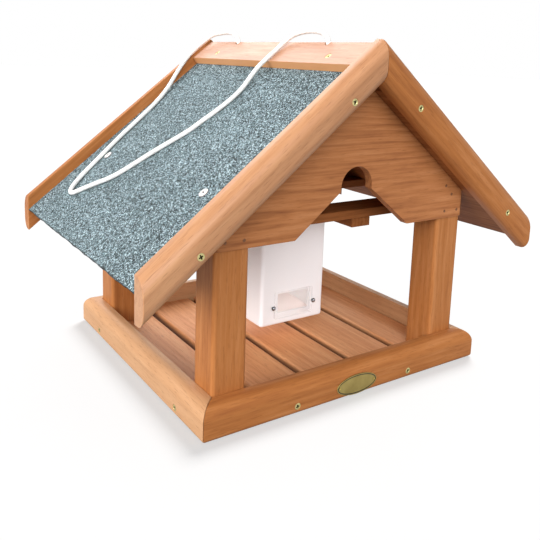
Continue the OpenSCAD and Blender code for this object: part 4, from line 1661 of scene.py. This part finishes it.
paper, tree, shader = new_material("white_paper")
mottle = noise(tree, object_place(tree), 3.0)
floor_tones = [(0.0, FLOOR_TONE - FLOOR_MOTTLE), (1.0, FLOOR_TONE + FLOOR_MOTTLE)]
feed(tree, shader, {
    "Base Color": ramp(tree, mottle, floor_tones),
    "Roughness": 0.9,
    "Specular IOR Level": 0.1,
    "Emission Color": calc(tree, "MULTIPLY", seen_rays(tree), FLOOR_LIFT),
    "Emission Strength": 1.0,
})

floor_mesh = bpy.data.meshes.new("floor")
floor_mesh.from_pydata(
    [(-FLOOR_HALF, -FLOOR_HALF, 0.0), (FLOOR_HALF, -FLOOR_HALF, 0.0),
     (FLOOR_HALF, FLOOR_HALF, 0.0), (-FLOOR_HALF, FLOOR_HALF, 0.0)],
    [], [(0, 1, 2, 3)])
floor = new_piece("floor", floor_mesh, paper)
floor.location.z = -FLOOR_BELOW
print("floor:", 2 * FLOOR_HALF, "m wide")

# %% [markdown]
# ## The light
#
# Three broad windows model the feeder. The left one brightens the left slope and the left faces, the
# front one reaches in under the roof to the slats and the silo, and the back one gives the ridge its pale
# sheen. They leave the floor out, because three shadows of a roof would be a muddle. The floor has a lamp
# of its own that only the tray can block, which leaves one soft shadow close to the feet. The world fills
# the rest.

# %% Light
FILL = 0.38
# A lamp is a name, the direction it shines from, its power and its apparent size in degrees.
WINDOWS = [
    ("left_window", (-0.92, -0.10, 0.37), 2.8, 36),
    ("front_window", (-0.40, -0.80, 0.45), 2.35, 45),
    ("back_window", (0.25, 0.70, 0.67), 1.9, 50),
]
FLOOR_LAMP = ("floor_lamp", (0.58, 0.44, 0.69), 4.5, 28)
SHADOW_MAKERS = ("tray_board", "floor_slat")


def add_sun(name, toward, power, width):
    """A broad sun that shines from a direction."""
    light = bpy.data.lights.new(name, "SUN")
    light.energy = power
    light.angle = math.radians(width)
    lamp = bpy.data.objects.new(name, light)
    lamp.rotation_mode = "QUATERNION"
    lamp.rotation_quaternion = (-Vector(toward)).to_track_quat("-Z", "Y")
    scene.collection.objects.link(lamp)
    return lamp


off_floor = bpy.data.collections.new("all_but_the_floor")
off_floor.objects.link(floor)
off_floor.collection_objects[0].light_linking.link_state = "EXCLUDE"
for window in WINDOWS:
    add_sun(*window).light_linking.receiver_collection = off_floor

on_floor = bpy.data.collections.new("only_the_floor")
on_floor.objects.link(floor)
feet = bpy.data.collections.new("floor_shadow")
for node, piece in boards.items():
    if node.startswith(SHADOW_MAKERS):
        feet.objects.link(piece)
floor_lamp = add_sun(*FLOOR_LAMP)
floor_lamp.light_linking.receiver_collection = on_floor
floor_lamp.light_linking.blocker_collection = feet

world = bpy.data.worlds.new("white_room")
world.use_nodes = True
scene.world = world
tree = world.node_tree
feed(tree, tree.nodes["Background"], {
    "Color": (1.0, 1.0, 1.0, 1.0),
    "Strength": scaled(tree, seen_rays(tree), 1.0 - FILL, FILL),
})
scene.view_settings.view_transform = "Standard"
